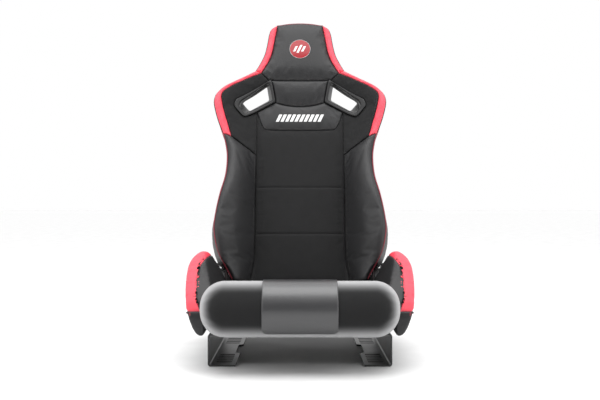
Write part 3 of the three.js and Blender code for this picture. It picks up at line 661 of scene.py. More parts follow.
SINGLE_PADS = {
    # name: slot, edge, crown, cap, fill, cross channels
    "back_centre_panel": ("seat_fabric", 4.5, 1.5, 3.0, 0.6, (136, 273)),
    "yoke_panel": ("black_leather", 4.0, 2.5, 3.5, 0.7, ()),
    "bridge_pad": ("black_leather", 5.0, 3.0, 5.0, 0.8, ()),
    "head_pad": ("black_leather", 6.0, 3.5, 6.0, 0.8, ()),
}
PAIRED_PADS = {
    "shoulder_wing": ("seat_fabric", 4.5, 2.0, 4.0, 0.7, ()),
    "back_bolster": ("black_leather", 7.0, 4.0, 7.0, 0.85, ()),
    "back_side_panel": ("black_leather", 5.0, 2.0, 3.0, 0.6, ()),
    "shoulder_trim": ("red_leather", 5.0, 2.5, 3.5, 0.8, ()),
    "head_trim": ("red_leather", 5.0, 2.0, 3.0, 0.8, ()),
}


def back_pad(node, name):
    slot, edge, crown, cap, share, channels = {**SINGLE_PADS, **PAIRED_PADS}[node]
    piece, held = quilt(name, loops[node], on_back, back_height, PAD_BACK, SLOT_FINISH[slot],
                        edge=edge, crown=crown, channels=channels)
    return stuffed(piece, held, cap)


for node, facts in SINGLE_PADS.items():
    piece = back_pad(node, f"{node}_cover")
    back_pads.append(settle(piece, BODY_BACK, (node,)))
for node, facts in PAIRED_PADS.items():
    left = back_pad(node, f"left_{node}_cover")
    right = mirrored(left, f"right_{node}_cover")
    for side, piece in (("left", left), ("right", right)):
        back_pads.append(settle(piece, BODY_BACK, (f"{side}_{node}",)))
FOOT = {"half": 186, "top": -13.4, "bottom": -38, "front": -6, "back": -13}
foot_loop = outline([[-FOOT["half"], FOOT["bottom"]], [FOOT["half"], FOOT["bottom"]]],
                    [[FOOT["half"], FOOT["top"]], [-FOOT["half"], FOOT["top"]]])
valance, held = quilt("backrest_foot_valance", foot_loop, on_back,
                      lambda x, s: np.full(np.shape(x), FOOT["front"]), FOOT["back"], seat_fabric,
                      edge=3.0, crown=0.6)
settle(valance, BODY_BACK, ())
low_side = SIDE_EDGE[SIDE_EDGE[:, 1] < PANEL_FOOT]
gusset_loop = outline([[204, -9], [205, 14], [208, PANEL_FOOT]], low_side[::-1])
gusset, held = quilt("left_back_gusset", gusset_loop, on_back, lambda x, s: np.full(np.shape(x), -7.0), -12.5,
                     black_leather, edge=2.0, crown=0.5)
for piece in (gusset, mirrored(gusset, "right_back_gusset")):
    settle(piece, BODY_BACK, ())
print("back pads:", len(back_pads), "with", sum(len(p.data.vertices) for p in back_pads), "points")

# %% [markdown]
# The shoulder harness passes through two moulded funnels. Each one is a lip that stands on the leather and
# a sleeve that climbs to the back of the shell. It is lofted: rings of equal point count go from the
# outside of the lip, over it, through the sleeve and back again. Shallow ribs in the lower outer corner
# stop the strap from sliding.

# %% Harness bezels
RING_POINTS = 132
OPENING = [[172, 536], [95, 596], [89, 590], [81, 541], [161, 498], [178, 519]]
OPENING_BACK = [[174, 531], [112, 590], [101, 585], [94, 541], [152, 506], [172, 529]]
SLEEVE_FRONT, SLEEVE_BACK, SLEEVE_CLIMB, SLEEVE_WALL = 10, -60, 0.46, 2.6


def rounded_loop(corners, radius):
    """A polygon with every corner cut to a short curve."""
    p = np.array(corners, float)
    points = []
    for i in range(len(p)):
        before, here, after = p[i - 1], p[i], p[(i + 1) % len(p)]
        near = [here + (end - here) * min(0.45, radius / np.linalg.norm(end - here))
                for end in (before, after)]
        for t in np.linspace(0, 1, 7):
            points.append((1 - t) ** 2 * near[0] + 2 * t * (1 - t) * here + t ** 2 * near[1])
    return np.array(points)


def ring_of(loop, middle):
    """The loop's crossings with evenly turned rays from a middle point."""
    a, b = loop, np.roll(loop, -1, 0)
    points = []
    for turn in np.linspace(0, 2 * math.pi, RING_POINTS, endpoint=False):
        ray = np.array([math.cos(turn), math.sin(turn)])
        side = b - a
        cross = ray[0] * side[:, 1] - ray[1] * side[:, 0]
        cross = np.where(np.abs(cross) < 1e-9, 1e-9, cross)
        reach = ((a[:, 0] - middle[0]) * side[:, 1] - (a[:, 1] - middle[1]) * side[:, 0]) / cross
        share = ((a[:, 0] - middle[0]) * ray[1] - (a[:, 1] - middle[1]) * ray[0]) / cross
        hit = reach[(share >= -1e-6) & (share <= 1 + 1e-6) & (reach > 0)]
        points.append(np.array(middle) + ray * hit.max())
    return np.array(points)


def loft(name, rings, finish):
    """A closed skin through rings of equal point count; the last ring joins the first."""
    count = len(rings[0])
    faces = []
    for k in range(len(rings)):
        for i in range(count):
            j, nxt = (i + 1) % count, (k + 1) % len(rings)
            faces.append([k * count + i, k * count + j, nxt * count + j, nxt * count + i])
    return new_piece(name, np.vstack(rings), faces, finish)


def harness_bezel(name):
    middle = np.array([127.0, 548.0])
    outer = ring_of(outline(*BEZEL), middle)
    hole = ring_of(rounded_loop(OPENING, 6), middle)
    far_hole = ring_of(rounded_loop(OPENING_BACK, 6), middle)

    def lip(share, lift):
        flat = outer + (hole - outer) * share
        return on_back(*flat.T, back_height(*flat.T) + lift)

    def sleeve(depth, wall):
        t = (SLEEVE_FRONT - depth) / (SLEEVE_FRONT + 62)
        flat = hole + (far_hole - hole) * t
        away = flat - flat.mean(0)
        away /= np.linalg.norm(away, axis=1)[:, None]
        flat = flat + away * wall + [0, SLEEVE_CLIMB * (SLEEVE_FRONT - depth)]
        return flat

    def inner(depth):
        flat = sleeve(depth, 0)
        corner = np.clip(1 - np.linalg.norm(hole - (172, 524), axis=1) / 34, 0, 1)
        away = flat - flat.mean(0)
        away /= np.linalg.norm(away, axis=1)[:, None]
        flat = flat + away * (1.1 * corner * math.sin(depth * 0.9))[:, None]
        return on_back(*flat.T, depth)

    rings = [lip(0.015, -6), lip(0.0, 0.0), lip(0.0, 4.0), lip(0.05, 5.4), lip(0.16, 6.0), lip(0.5, 6.0),
             lip(0.8, 5.8), lip(0.93, 5.0), lip(1.0, 3.0)]
    rings += [inner(depth) for depth in np.arange(4, SLEEVE_BACK, -1.75)]
    rings += [on_back(*sleeve(depth, wall).T, depth)
              for depth, wall in ((SLEEVE_BACK - 0.6, 0.6), (SLEEVE_BACK - 0.6, SLEEVE_WALL - 0.4),
                                  (SLEEVE_BACK, SLEEVE_WALL), (-30, SLEEVE_WALL), (-6, SLEEVE_WALL))]
    return loft(name, rings, black_plastic)


left_bezel = harness_bezel("left_harness_bezel_moulding")
right_bezel = mirrored(left_bezel, "right_harness_bezel_moulding")
for side, piece in (("left", left_bezel), ("right", right_bezel)):
    settle(piece, BODY_BACK, (f"{side}_harness_bezel",))
print("bezel points:", len(left_bezel.data.vertices))

# %% [markdown]
# The front roll carries the thighs. It is a foam bolster in a velour sleeve with gathered round ends, and a
# smooth leather plate is sewn over its middle where legs rub. Both follow the same round profile.

# %% Front roll and its leather insert
base_front = hinge.y - 402 * MM         # the brackets' front faces
ROLL = {"y": -77, "z": 145, "radius": 63, "half": 225, "straight": 168}
INSERT = {"half": 84, "from": -51, "to": 118, "proud": 1.6, "corner": 15}


def on_base(x, y, z):
    """Row-frame points, in metres, from the base's own millimetres."""
    x, y, z = np.broadcast_arrays(np.asarray(x, float), y, z)
    return np.stack([x * MM, base_front + y * MM, z * MM], -1)


def front_roll(name):
    ends, around = 26, 96
    profile = []
    for side in (-1, 1):
        for k in range(ends + 1):
            a = math.pi / 2 * (k / ends if side < 0 else 1 - k / ends)
            along = ROLL["straight"] + (ROLL["half"] - ROLL["straight"]) * math.cos(a)
            profile.append((side * along, ROLL["radius"] * math.sin(a) ** 0.9))
    left, right = profile[:ends + 1], profile[ends + 1:]
    straight = [(x, ROLL["radius"]) for x in np.linspace(-ROLL["straight"], ROLL["straight"], 40)[1:-1]]
    profile = left + straight + right
    points, faces = [], []
    for x, radius in profile[1:-1]:
        for turn in np.linspace(0, 2 * math.pi, around, endpoint=False):
            gather = 1 - 0.006 * math.sin(turn * 16) * ease(abs(x), ROLL["straight"], ROLL["half"])
            forward, up = radius * gather * math.cos(turn), radius * math.sin(turn)
            points.append((x, ROLL["y"] + forward, ROLL["z"] + up))
    rows = len(profile) - 2
    for k in range(rows - 1):
        for i in range(around):
            j = (i + 1) % around
            faces.append([k * around + i, k * around + j, (k + 1) * around + j, (k + 1) * around + i])
    points += [(profile[0][0], ROLL["y"], ROLL["z"]), (profile[-1][0], ROLL["y"], ROLL["z"])]
    tip = rows * around
    for i in range(around):
        j = (i + 1) % around
        faces.append([tip, j, i])
        faces.append([tip + 1, (rows - 1) * around + i, (rows - 1) * around + j])
    x, y, z = np.array(points).T
    return new_piece(name, on_base(x, y, z), faces, roll_cover)


def on_roll(x, along, height):
    """Points over the roll: along is the arc from straight ahead, and height stands off its surface."""
    radius = ROLL["radius"] + np.asarray(height, float)
    turn = np.asarray(along, float) / ROLL["radius"]
    return on_base(x, ROLL["y"] - radius * np.cos(turn), ROLL["z"] + radius * np.sin(turn))


roll = stuffed(front_roll("front_roll_velour"), [], 1.2, pressure=3.0, slack=0.0)
settle(roll, BODY_BASE, ("front_roll",))
low_arc, high_arc = (math.radians(INSERT[end]) * ROLL["radius"] for end in ("from", "to"))
side = INSERT["half"]
insert_corners = [[side, low_arc], [side, high_arc], [-side, high_arc], [-side, low_arc]]
insert_loop = outline(rounded_loop(insert_corners, INSERT["corner"]))
insert, held = quilt("front_roll_leather_insert", insert_loop, on_roll,
                     lambda x, s: np.full(np.shape(x), INSERT["proud"] + 1.4), -3.0, insert_leather,
                     edge=2.2, crown=0.4)
settle(insert, BODY_BASE, ("front_roll_insert",))
print("roll points:", len(roll.data.vertices), " insert points:", len(insert.data.vertices))

# %% [markdown]
# The cushion lies behind the roll and slopes down to the back, so that it cups the hips. Three sewn
# channels cross it. Its foam block is a separate piece that rests on the steel pan.

# %% Cushion
CUSHION = {"half": 189.3, "front": -30, "back": 333.5, "cover": 12}
CUSHION_TOP = [[-45, 200], [0, 193], [140, 170], [270, 148], [300, 142], [334, 138]]
CUSHION_CHANNELS = (45, 130, 215)


def cushion_height(x, y):
    return np.interp(y, *np.array(CUSHION_TOP).T) + 6 * (x / CUSHION["half"]) ** 2


half, front, back = CUSHION["half"], CUSHION["front"], CUSHION["back"]
cushion_loop = outline([[-half, front], [half, front]], [[half, back], [-half, back]])
cushion, held = quilt("cushion_padded_cover", cushion_loop, on_base, cushion_height,
                      lambda x, y: cushion_height(x, y) - CUSHION["cover"], seat_fabric,
                      edge=7.0, crown=2.0, channels=CUSHION_CHANNELS, depth=3.0)
stuffed(cushion, held, 5.0)
settle(cushion, BODY_BASE, ("cushion_cover",))

# %% [markdown]
# Some pieces wrap round in every direction, so no flat pattern gives their shape. They start from solids of
# the frame: a Remesh modifier lays an even skin over them and a Smooth modifier rounds it.

# %% Skins from solids
def baked(piece):
    """Gives the piece the mesh that its modifiers make, and drops them."""
    made = bpy.data.meshes.new_from_object(piece.evaluated_get(bpy.context.evaluated_depsgraph_get()))
    piece.modifiers.clear()
    piece.data = made
    return made


def rounded_skin(piece, voxel, rounds):
    """Lays an even skin over a solid and rounds it. voxel is in mm."""
    skin = piece.modifiers.new("skin", "REMESH")
    skin.mode, skin.voxel_size = "VOXEL", voxel * MM
    rounding = piece.modifiers.new("rounding", "SMOOTH")
    rounding.factor, rounding.iterations = 0.5, rounds
    return baked(piece)


def wear(mesh, finish):
    """Gives a mesh one finish and smooth shading."""
    mesh.materials.clear()
    mesh.materials.append(finish)
    mesh.polygons.foreach_set("material_index", np.zeros(len(mesh.polygons), np.int32))
    mesh.shade_smooth()


print("skin maker ready")

# %% [markdown]
# Each base bolster is one block of moulded foam under three leather covers. It is made whole first: the
# three solids are grown until they merge, skinned, swollen and drawn in towards the front. Then the seam
# lines are marked on it and the covers are taken apart along them, each with its raw edge turned in.

# %% Base bolsters
BOLSTER_SIDE = np.vstack([
    smooth([[-48, 80], [-59, 98], [-62, 122], [-52, 150], [-20, 184], [30, 217], [90, 244], [150, 257],
            [190, 259], [228, 252], [262, 234], [300, 202], [326, 168], [334, 145]]), [[334, 92], [324, 80]]])
BAND_SEAM_Z, BAND_DROP = 138, 28
BOLSTER_VOXEL, BOLSTER_ROUNDS = 4.0, 6
SNAP = 1.5                              # points this near to a seam are pulled onto it
TURN_IN = 6                             # width of the turned-in raw edge
OVERLAP = 0.6                           # each solid grows by this, so that the three merge
TAPER = 13                              # how far the outer side draws in towards the front
SEAM_ACROSS = smooth([[80, 206], [110, 215], [138, 227], [165, 237], [190, 242], [215, 243], [235, 239],
                      [250, 228], [262, 214]])       # height, and how far out the inner seam lies there
band_middle, band_reach = np.array([136, 150]), np.array([198, 109])
BAND_SEAM = (BOLSTER_SIDE - band_middle) * (1 - BAND_DROP / band_reach) + band_middle


def nearest_on(points, loop):
    """How far each point is from a closed loop, and the nearest place on it."""
    best, place = np.full(len(points), np.inf), points.copy()
    for start, end in zip(loop, np.roll(loop, -1, 0)):
        side = end - start
        share = np.clip(((points - start) @ side) / (side @ side), 0, 1)
        foot = start + share[:, None] * side
        gap = np.linalg.norm(points - foot, axis=1)
        closer = gap < best
        best[closer], place[closer] = gap[closer], foot[closer]
    return best, place


def whole_bolster():
    """The left base bolster as one soft skin, before its covers are told apart."""
    block = placed("left_bolster_skin", bpy.data.meshes.new("left_bolster_skin"))
    work = bmesh.new()
    for part in ("base_bolster", "base_side_panel", "base_trim"):
        before = len(work.verts)
        work.from_mesh(nodes[f"left_{part}"].data)
        work.normal_update()
        work.verts.ensure_lookup_table()
        for vertex in work.verts[before:]:
            vertex.co += vertex.normal * OVERLAP * MM
    work.to_mesh(block.data)
    work.free()
    rounded_skin(block, BOLSTER_VOXEL, BOLSTER_ROUNDS)
    stuffed(block, [], 1.5, pressure=2.0)
    points = coordinates(block.data)
    x, y = points[:, 0] / MM, (points[:, 1] - base_front) / MM
    points[:, 0] -= TAPER * MM * (1 - ease(y, -62, 120)) * ease(x, 190, 276)
    move_points(block.data, points)
    finer = block.modifiers.new("finer", "SUBSURF")
    finer.levels = finer.render_levels = 1
    baked(block)
    return block


def sew_seams(mesh, depth, width):
    """Pulls the nearest points onto the seam lines, tells the covers apart, and draws the skin in along
    the seams. Returns the cover of each face."""
    points = coordinates(mesh)
    x, y, z = points[:, 0] / MM, (points[:, 1] - base_front) / MM, points[:, 2] / MM
    gap, foot = nearest_on(np.stack([y, z], 1), BAND_SEAM)
    inside = within(np.stack([y, z], 1), BAND_SEAM)
    seam_x = np.interp(z, *SEAM_ACROSS.T)
    outer = x > seam_x - 0.5
    on_band = outer & (gap < SNAP) & (z > BAND_SEAM_Z - 1)
    y, z = np.where(on_band, foot[:, 0], y), np.where(on_band, foot[:, 1], z)
    on_side = np.abs(x - seam_x) < SNAP
    on_end = outer & ~inside & (np.abs(z - BAND_SEAM_Z) < SNAP) & ~on_band
    x, z = np.where(on_side, seam_x, x), np.where(on_end, BAND_SEAM_Z, z)
    move_points(mesh, on_base(x, y, z))
    centres = np.zeros(len(mesh.polygons) * 3, np.float32)
    mesh.polygons.foreach_get("center", centres)
    owner = cover_of(centres.reshape(-1, 3).astype(float))
    normal = np.zeros(len(points) * 3, np.float32)
    mesh.vertex_normals.foreach_get("vector", normal)
    valleys = [np.abs(x - seam_x), np.where(outer & ~inside, np.abs(z - BAND_SEAM_Z), 99),
               np.where(outer & (z > BAND_SEAM_Z - width), gap, 99)]
    pull = depth * np.max([np.exp(-(valley / width) ** 2) for valley in valleys], axis=0)
    move_points(mesh, on_base(x, y, z) - normal.reshape(-1, 3) * (pull * MM)[:, None])
    return owner


def cover_of(centres):
    """Which of the three covers each face belongs to."""
    x, y, z = centres[:, 0] / MM, (centres[:, 1] - base_front) / MM, centres[:, 2] / MM
    red = (z > BAND_SEAM_Z) & ~within(np.stack([y, z], 1), BAND_SEAM)
    outer = np.where(red, "base_trim", "base_side_panel")
    return np.where(x < np.interp(z, *SEAM_ACROSS.T), "base_bolster", outer)


def cut_cover(mesh, chosen, name, finish):
    """The chosen faces as a piece of their own, with its raw edge turned in."""
    work = bmesh.new()
    work.from_mesh(mesh)
    work.faces.ensure_lookup_table()
    work.normal_update()
    bmesh.ops.delete(work, geom=[work.faces[i] for i in np.flatnonzero(~chosen)], context="FACES")
    raw = [edge for edge in work.edges if edge.is_boundary]
    inward = {vertex: vertex.normal.copy() for edge in raw for vertex in edge.verts}
    turned = bmesh.ops.extrude_edge_only(work, edges=raw)["geom"]
    for vertex in (item for item in turned if isinstance(item, bmesh.types.BMVert)):
        around = [edge.other_vert(vertex) for edge in vertex.link_edges]
        vertex.co -= next(inward[other] for other in around if other in inward) * TURN_IN * MM
    cover = bpy.data.meshes.new(name)
    work.to_mesh(cover)
    work.free()
    wear(cover, finish)
    return placed(name, cover)


bolster = whole_bolster()
owner = sew_seams(bolster.data, 1.6, 2.6)
base_pads = []
for node, slot, share in (("base_trim", "red_leather", 0.8), ("base_side_panel", "black_leather", 0.7),
                          ("base_bolster", "black_leather", 0.9)):
    left = cut_cover(bolster.data, owner == node, f"left_{node}_cover", SLOT_FINISH[slot])
    right = mirrored(left, f"right_{node}_cover")
    for side, piece in (("left", left), ("right", right)):
        base_pads.append(settle(piece, BODY_BASE, (f"{side}_{node}",)))
bpy.data.objects.remove(bolster)
print("base pads:", len(base_pads), "with", sum(len(p.data.vertices) for p in base_pads), "points")

# %% [markdown]
# Under the covers lie two moulded foam blocks. Foam has an open, pale, slightly yellow skin with soft edges,
# and it is seen only where a cover ends. A coarse skin over each solid is enough.

# %% Foam blocks
FOAM_VOXEL, FOAM_ROUNDS = 7.0, 3
for node, body in (("cushion_foam", BODY_BASE), ("back_foam", BODY_BACK)):
    block = placed(f"{node}_block", nodes[node].data.copy())
    wear(rounded_skin(block, FOAM_VOXEL, FOAM_ROUNDS), foam)
    block.data.name = block.name
    settle(block, body, (node,))
    print(block.name, "points:", len(block.data.vertices))

# %% [markdown]
# One moulded shell closes the back of the seat. It would be vacuum formed or laid up over a buck: a single
# sheet, rounded where it turns forwards, with two windows for the harness. The sheet is drawn as one skin
# and a Solidify modifier gives it a wall, so its thickness stays one number.

# %% Rear shell
SHELL_WALL, SHELL_TURN = 4.0, 16.0      # wall, and how far from the edge the sheet starts to turn


def rear_depth(x, s):
    """The outer face of the shell, as n."""
    across = np.abs(x) / half_width(np.maximum(s, 104))
    return (-100 + 34 * ease(s, 330, 520) + 20 * across ** 4 + 14 * ease(s, 740, 795)
            + 8 * (1 - ease(s, -10, 60)))


def rear_shell(name):
    above = SIDE_EDGE[SIDE_EDGE[:, 1] > PANEL_TOP]
    rim = inset(outline(RIM_EDGE, above, SHOULDER_EDGE, HEAD_EDGE, HEAD_TOP, flip(HEAD_EDGE),
                        flip(SHOULDER_EDGE), flip(above), flip(RIM_EDGE)), 0.6)
    window = inset(outline(rounded_loop(OPENING_BACK, 6) + [0, SLEEVE_CLIMB * 75]), -4.5)
    points, triangles = fill(rim, step=8.5, holes=(window, flip(window)))
    x, s = points.T
    distance = edge_distance(points, rim)
    distance[:len(rim)] = 0
    turn = np.clip(distance / SHELL_TURN, 0, 1)
    depth = rear_depth(x, s) + SHELL_TURN * (1 - np.sqrt(1 - (1 - turn) ** 2))
    layers, faces = [on_back(x, s, depth)], list(triangles)
    rows = 6
    for row in range(1, rows + 1):
        level = depth[:len(rim)] + (PAD_BACK - 0.4 - depth[:len(rim)]) * row / rows
        layers.append(on_back(*rim.T, level))
    start = 0
    for row in range(rows):
        nxt = len(points) + row * len(rim)
        for i in range(len(rim)):
            j = (i + 1) % len(rim)
            faces.append([start + i, start + j, nxt + j, nxt + i])
        start = nxt
    shell = new_piece(name, np.vstack(layers), faces, shell_plastic)
    work = bmesh.new()
    work.from_mesh(shell.data)

    def by_the_hinge(face):
        """True where the cross rod and the recliner arms pass through the shell."""
        middle = face.calc_center_median()
        across = abs(middle.x) / MM
        along = (middle - back_foot).dot(up_back) / MM
        bore = math.hypot(middle.y - hinge.y, middle.z - hinge.z) / MM < 14
        return (across > 180 and bore) or (across > 200.5 and along < 65)

    bmesh.ops.delete(work, geom=[face for face in work.faces if by_the_hinge(face)], context="FACES")
    work.to_mesh(shell.data)
    work.free()
    wall = shell.modifiers.new("wall", "SOLIDIFY")
    wall.thickness, wall.offset = SHELL_WALL * MM, -1
    return shell


shell = rear_shell("rear_shell_moulding")
settle(shell, BODY_BACK, ("back_shell",))
print("shell points:", len(shell.data.vertices))

# %% [markdown]
# Piping is a cord wrapped in a strip of leather and caught in the seam. It marks the outer edge of the
# side bolsters and the top of the head. Each run is a tube along its seam.

# %% Piping
def tube(name, path, radius, finish, closed=False, sides=8):
    """A round cord along row-frame points. Its cross-section always keeps one side to the front."""
    path = np.asarray(path, float)
    ahead, behind = np.roll(path, -1, 0), np.roll(path, 1, 0)
    if not closed:
        ahead[-1], behind[0] = path[-1], path[0]
    along = ahead - behind
    along /= np.linalg.norm(along, axis=1)[:, None]
    side = np.cross(along, np.array(out_front))
    side /= np.linalg.norm(side, axis=1)[:, None]
    front = np.cross(side, along)
    points, faces = [], []
    for turn in np.linspace(0, 2 * math.pi, sides, endpoint=False):
        points.append(path + (side * math.cos(turn) + front * math.sin(turn)) * radius * MM)
    points = np.stack(points, 1).reshape(-1, 3)
    count = len(path)
    for k in range(count if closed else count - 1):
        low, high = k * sides, (k + 1) % count * sides
        faces += [[low + i, low + (i + 1) % sides, high + (i + 1) % sides, high + i] for i in range(sides)]
    if not closed:
        faces += [list(range(sides)), list(range((count - 1) * sides, count * sides))]
    return new_piece(name, points, faces, finish)


side_run = evenly(SIDE_EDGE[SIDE_EDGE[:, 1] > -9], 5)
x, s = side_run.T
left_pipe = tube("left_side_piping", on_back(x + 0.2, s, back_height(x - 2, s) - 5.5), 1.9, piping_red)
right_pipe = mirrored(left_pipe, "right_side_piping")
top_run = evenly(HEAD_TOP, 5)
x, s = top_run.T
head_pipe = tube("head_piping", on_back(x, s + 0.2, back_height(x, s - 2) - 4.5), 1.9, piping_red)
edge_run = evenly(np.vstack([SHOULDER_EDGE, HEAD_EDGE[1:]]), 5)
x, s = edge_run.T
left_edge = tube("left_edge_piping", on_back(x + 0.4, s + 0.3, back_height(x - 2, s) - 7.5), 1.7,
                 piping_black)
right_edge = mirrored(left_edge, "right_edge_piping")
runs = {left_pipe: "red_leather", right_pipe: "red_leather", head_pipe: "red_leather",
        left_edge: "black_leather", right_edge: "black_leather"}
for piece, slot in runs.items():
    settle(piece, BODY_BACK)
print("piping runs:", len(runs))

# %% [markdown]
# Stitches lie in rows beside a seam, one short bar after another, sunk a little at both ends. Small marks
# like these must sit on the finished covers, so rays find the skin under each one. Badges and printed
# marks use the same rays.

# %% Stitching
STITCH_LENGTH, STITCH_PITCH, THREAD = 3.7, 5.4, 0.5


def skin_under(pieces):
    """A search tree over several pieces."""
    points, faces = [], []
    for piece in pieces:
        start = sum(len(part) for part in points)
        points.append(coordinates(piece.data))
        faces += [[start + v for v in face.vertices] for face in piece.data.polygons]
    return BVHTree.FromPolygons([tuple(p) for p in np.vstack(points)], faces)


back_skin = skin_under(back_pads)
RAY_START = 200                         # rays start this far in front of the back, as n


def over_pads(x, s):
    """Height of the finished covers above the back's plane, as n."""
    starts = on_back(x, s, RAY_START).reshape(-1, 3)
    found = [back_skin.ray_cast(Vector(start), -out_front)[3] for start in starts]
    base = back_height(x, s).ravel()
    heights = [n if hit is None else RAY_START - hit / MM for hit, n in zip(found, base)]
    return np.array(heights).reshape(np.shape(x))


def stitch_row(path, sunk=0.25):
    """Six-sided bars along row-frame points, as (points, faces)."""
    points, faces = [], []
    for start, end in zip(path, np.roll(path, -1, 0)[:-1]):
        along = (end - start) / np.linalg.norm(end - start)
        side = np.cross(along, np.array(out_front))
        side /= np.linalg.norm(side)
        front = np.cross(side, along)
        first = len(points)
        for share, radius, drop in ((-1, 0.25, sunk), (-0.6, THREAD, 0), (0.6, THREAD, 0), (1, 0.25, sunk)):
            middle = start + along * share * STITCH_LENGTH / 2 * MM - front * drop * MM
            for turn in np.linspace(0, 2 * math.pi, 6, endpoint=False):
                points.append(middle + (side * math.cos(turn) + front * math.sin(turn)) * radius * MM)
        for k in range(3):
            low = first + 6 * k
            faces += [[low + i, low + (i + 1) % 6, low + 6 + (i + 1) % 6, low + 6 + i] for i in range(6)]
        faces += [list(range(first, first + 6)), list(range(first + 18, first + 24))]
    return points, faces


def stitching(name, rows, finish):
    points, faces = [], []
    for row in rows:
        more, sides = stitch_row(row)
        faces += [[len(points) + v for v in face] for face in sides]
        points += more
    return new_piece(name, np.array(points), faces, finish)


def row_on_back(flat, shift):
    """A row of places beside a seam; shift is (across, along) in mm."""
    x, s = (evenly(flat, STITCH_PITCH) + shift).T
    return on_back(x, s, over_pads(x, s) + THREAD * 0.5)


bolster_row = BOLSTER_SEAM[BOLSTER_SEAM[:, 1] > 20]
shoulder_row, head_row = SHOULDER_SEAM[4:-3], HEAD_SEAM[3:-3]
left_rows = [row_on_back(bolster_row, (4.6, 0)), row_on_back(shoulder_row, (-4.6, -1)),
             row_on_back(head_row, (-4.6, 0)), row_on_back([[204, 414], [136, 381]], (-2, -6))]
left_thread = stitching("left_back_stitching", left_rows, thread_black)
right_thread = mirrored(left_thread, "right_back_stitching")
middle_rows = [row_on_back([[-84, 604.5], [84, 604.5]], (0, 4.6)), row_on_back(SMILE[6:-6], (0, 4.6)),
               row_on_back(np.vstack([YOKE_FOOT[6:], flip(YOKE_FOOT[6:])]), (0, 4.6))]
middle_thread = stitching("middle_back_stitching", middle_rows, thread_black)
for piece in (left_thread, right_thread, middle_thread):
    settle(piece, BODY_BACK)
base_skin = skin_under([piece for piece in base_pads if piece.name.startswith("left")])


def row_on_base(x, z):
    """A row across the front of the left base bolster."""
    starts = on_base(np.array(x, float), -200, z)
    hits = [base_skin.ray_cast(Vector(start), Vector((0, 1, 0)))[0] for start in starts]
    return np.array([tuple(hit + Vector((0, -THREAD * 0.5 * MM, 0))) for hit in hits if hit is not None])


BASE_ROW_X, BASE_ROWS_Z = np.arange(250, 273, 4.4), (133.5, 129.5)
rows = [row for row in (row_on_base(BASE_ROW_X, z) for z in BASE_ROWS_Z) if len(row) > 2]
left_red = stitching("left_base_stitching", rows, thread_red)
for piece in (left_red, mirrored(left_red, "right_base_stitching")):
    settle(piece, BODY_BASE)
print("stitches:", (len(left_thread.data.vertices) * 2 + len(middle_thread.data.vertices)) // 24)

# %% [markdown]
# The badge on the head is a domed enamel disc in a polished ring, with three slanted bars that belong to
# nobody. The yoke carries a row of plain slanted stripes in the same spirit, printed on the leather.

# %% Badge and stripes
BADGE = {"s": 702, "radius": 30.5, "dome": 1.6}
angles = np.linspace(0, 2 * math.pi, 64, endpoint=False)
ring_x, ring_s = BADGE["radius"] * np.cos(angles), BADGE["s"] + BADGE["radius"] * np.sin(angles)
badge_level = float(np.mean(over_pads(ring_x, ring_s))) + 0.6


def badge_height(x, s):
    out = np.hypot(x, s - BADGE["s"]) / BADGE["radius"]
    return badge_level + BADGE["dome"] * (1 - np.clip(out, 0, 1) ** 2)


badge_loop = np.stack([ring_x, ring_s], 1)
badge, held = quilt("head_badge_disc", badge_loop, on_back, badge_height, badge_level - 3.0, enamel_red,
                    edge=0.8, crown=0.0)
settle(badge, BODY_BACK, ("emblem_disc",))
ring = tube("head_badge_ring", on_back(ring_x, ring_s, np.full(64, badge_level - 0.2)), 0.9, spring_steel,
            closed=True, sides=12)
settle(ring, BODY_BACK)


def slanted_bar(name, x, s, width, height, place, finish, lift=0.45, lean=0.45):
    """A thin slanted plate that follows the height function place."""
    half = height / 2
    corners = [[x - lean * half, s - half], [x - lean * half + width, s - half],
               [x + lean * half + width, s + half], [x + lean * half, s + half]]
    loop = np.vstack([evenly([corners[k], corners[(k + 1) % 4]], 1.5)[:-1] for k in range(4)])
    bar, held = quilt(name, loop, on_back, lambda a, b: place(a, b) + lift, lambda a, b: place(a, b) - 1.0,
                      finish, edge=0.3, crown=0.0)
    return bar


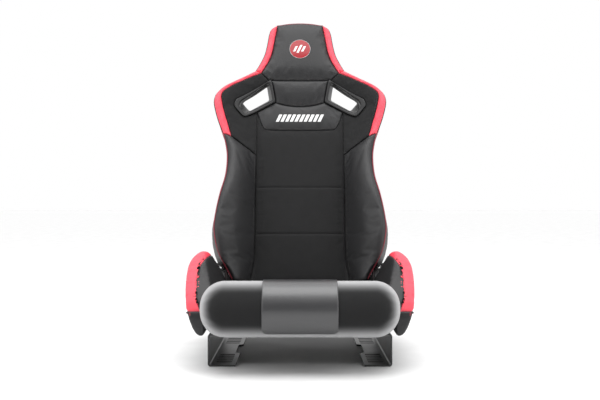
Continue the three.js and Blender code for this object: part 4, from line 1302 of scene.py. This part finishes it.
for k, (x, height) in enumerate(((-17, 18), (-5, 26), (7, 18))):
    bar = slanted_bar(f"head_badge_bar_{k + 1}", x, BADGE["s"], 7, height, badge_height, enamel_white)
    settle(bar, BODY_BACK)
for k, x in enumerate(np.linspace(-66, 56, 10)):
    bar = slanted_bar(f"yoke_stripe_{k + 1}", x, 487.5, 9.5, 23, over_pads, enamel_white, lift=0.35)
    settle(bar, BODY_BACK)
print("badge stands at", round(badge_level, 1), "mm")

# %% [markdown]
# The seat stands on a pale studio floor under a white sky. The sky is a big dome that only the camera
# sees, so it gives a clean backdrop and adds no light.

# %% Floor and backdrop
def backdrop():
    white = bpy.data.materials.new("sky_white")
    tree = node_tree(white)
    glow = add_node(tree, "ShaderNodeEmission", {"Color": (1, 1, 1, 1), "Strength": 1.0})
    add_node(tree, "ShaderNodeOutputMaterial", {"Surface": glow.outputs[0]})
    mesh = bpy.data.meshes.new("sky_dome")
    work = bmesh.new()
    bmesh.ops.create_uvsphere(work, u_segments=48, v_segments=24, radius=40)
    bmesh.ops.reverse_faces(work, faces=work.faces)
    work.to_mesh(mesh)
    work.free()
    mesh.materials.append(white)
    dome = placed("sky_dome", mesh)
    for way in ("diffuse", "glossy", "shadow", "transmission", "volume_scatter"):
        setattr(dome, "visible_" + way, False)


def sheet(name, corners, finish):
    """A flat four-cornered stage piece."""
    mesh = bpy.data.meshes.new(name)
    mesh.from_pydata(corners, [], [(0, 1, 2, 3)])
    mesh.materials.append(finish)
    made = placed(name, mesh)
    return made


def flag(name, corners):
    """A black card that keeps light out from under the seat. The camera doesn't see it."""
    card = sheet(name, corners, piping_black)
    card.visible_camera = card.visible_glossy = False


backdrop()
flag("rear_flag", [(-0.25, 0.2, 0.002), (0.25, 0.2, 0.002), (0.25, 0.2, 0.13), (-0.25, 0.2, 0.13)])
flag("under_flag", [(-0.2, -0.24, 0.022), (0.2, -0.24, 0.022), (0.2, 0.2, 0.022), (-0.2, 0.2, 0.022)])
sheet("floor", [(-30, -30, 0), (30, -30, 0), (30, 30, 0), (-30, 30, 0)], floor_paint)
print("stage: sky, floor and two flags")
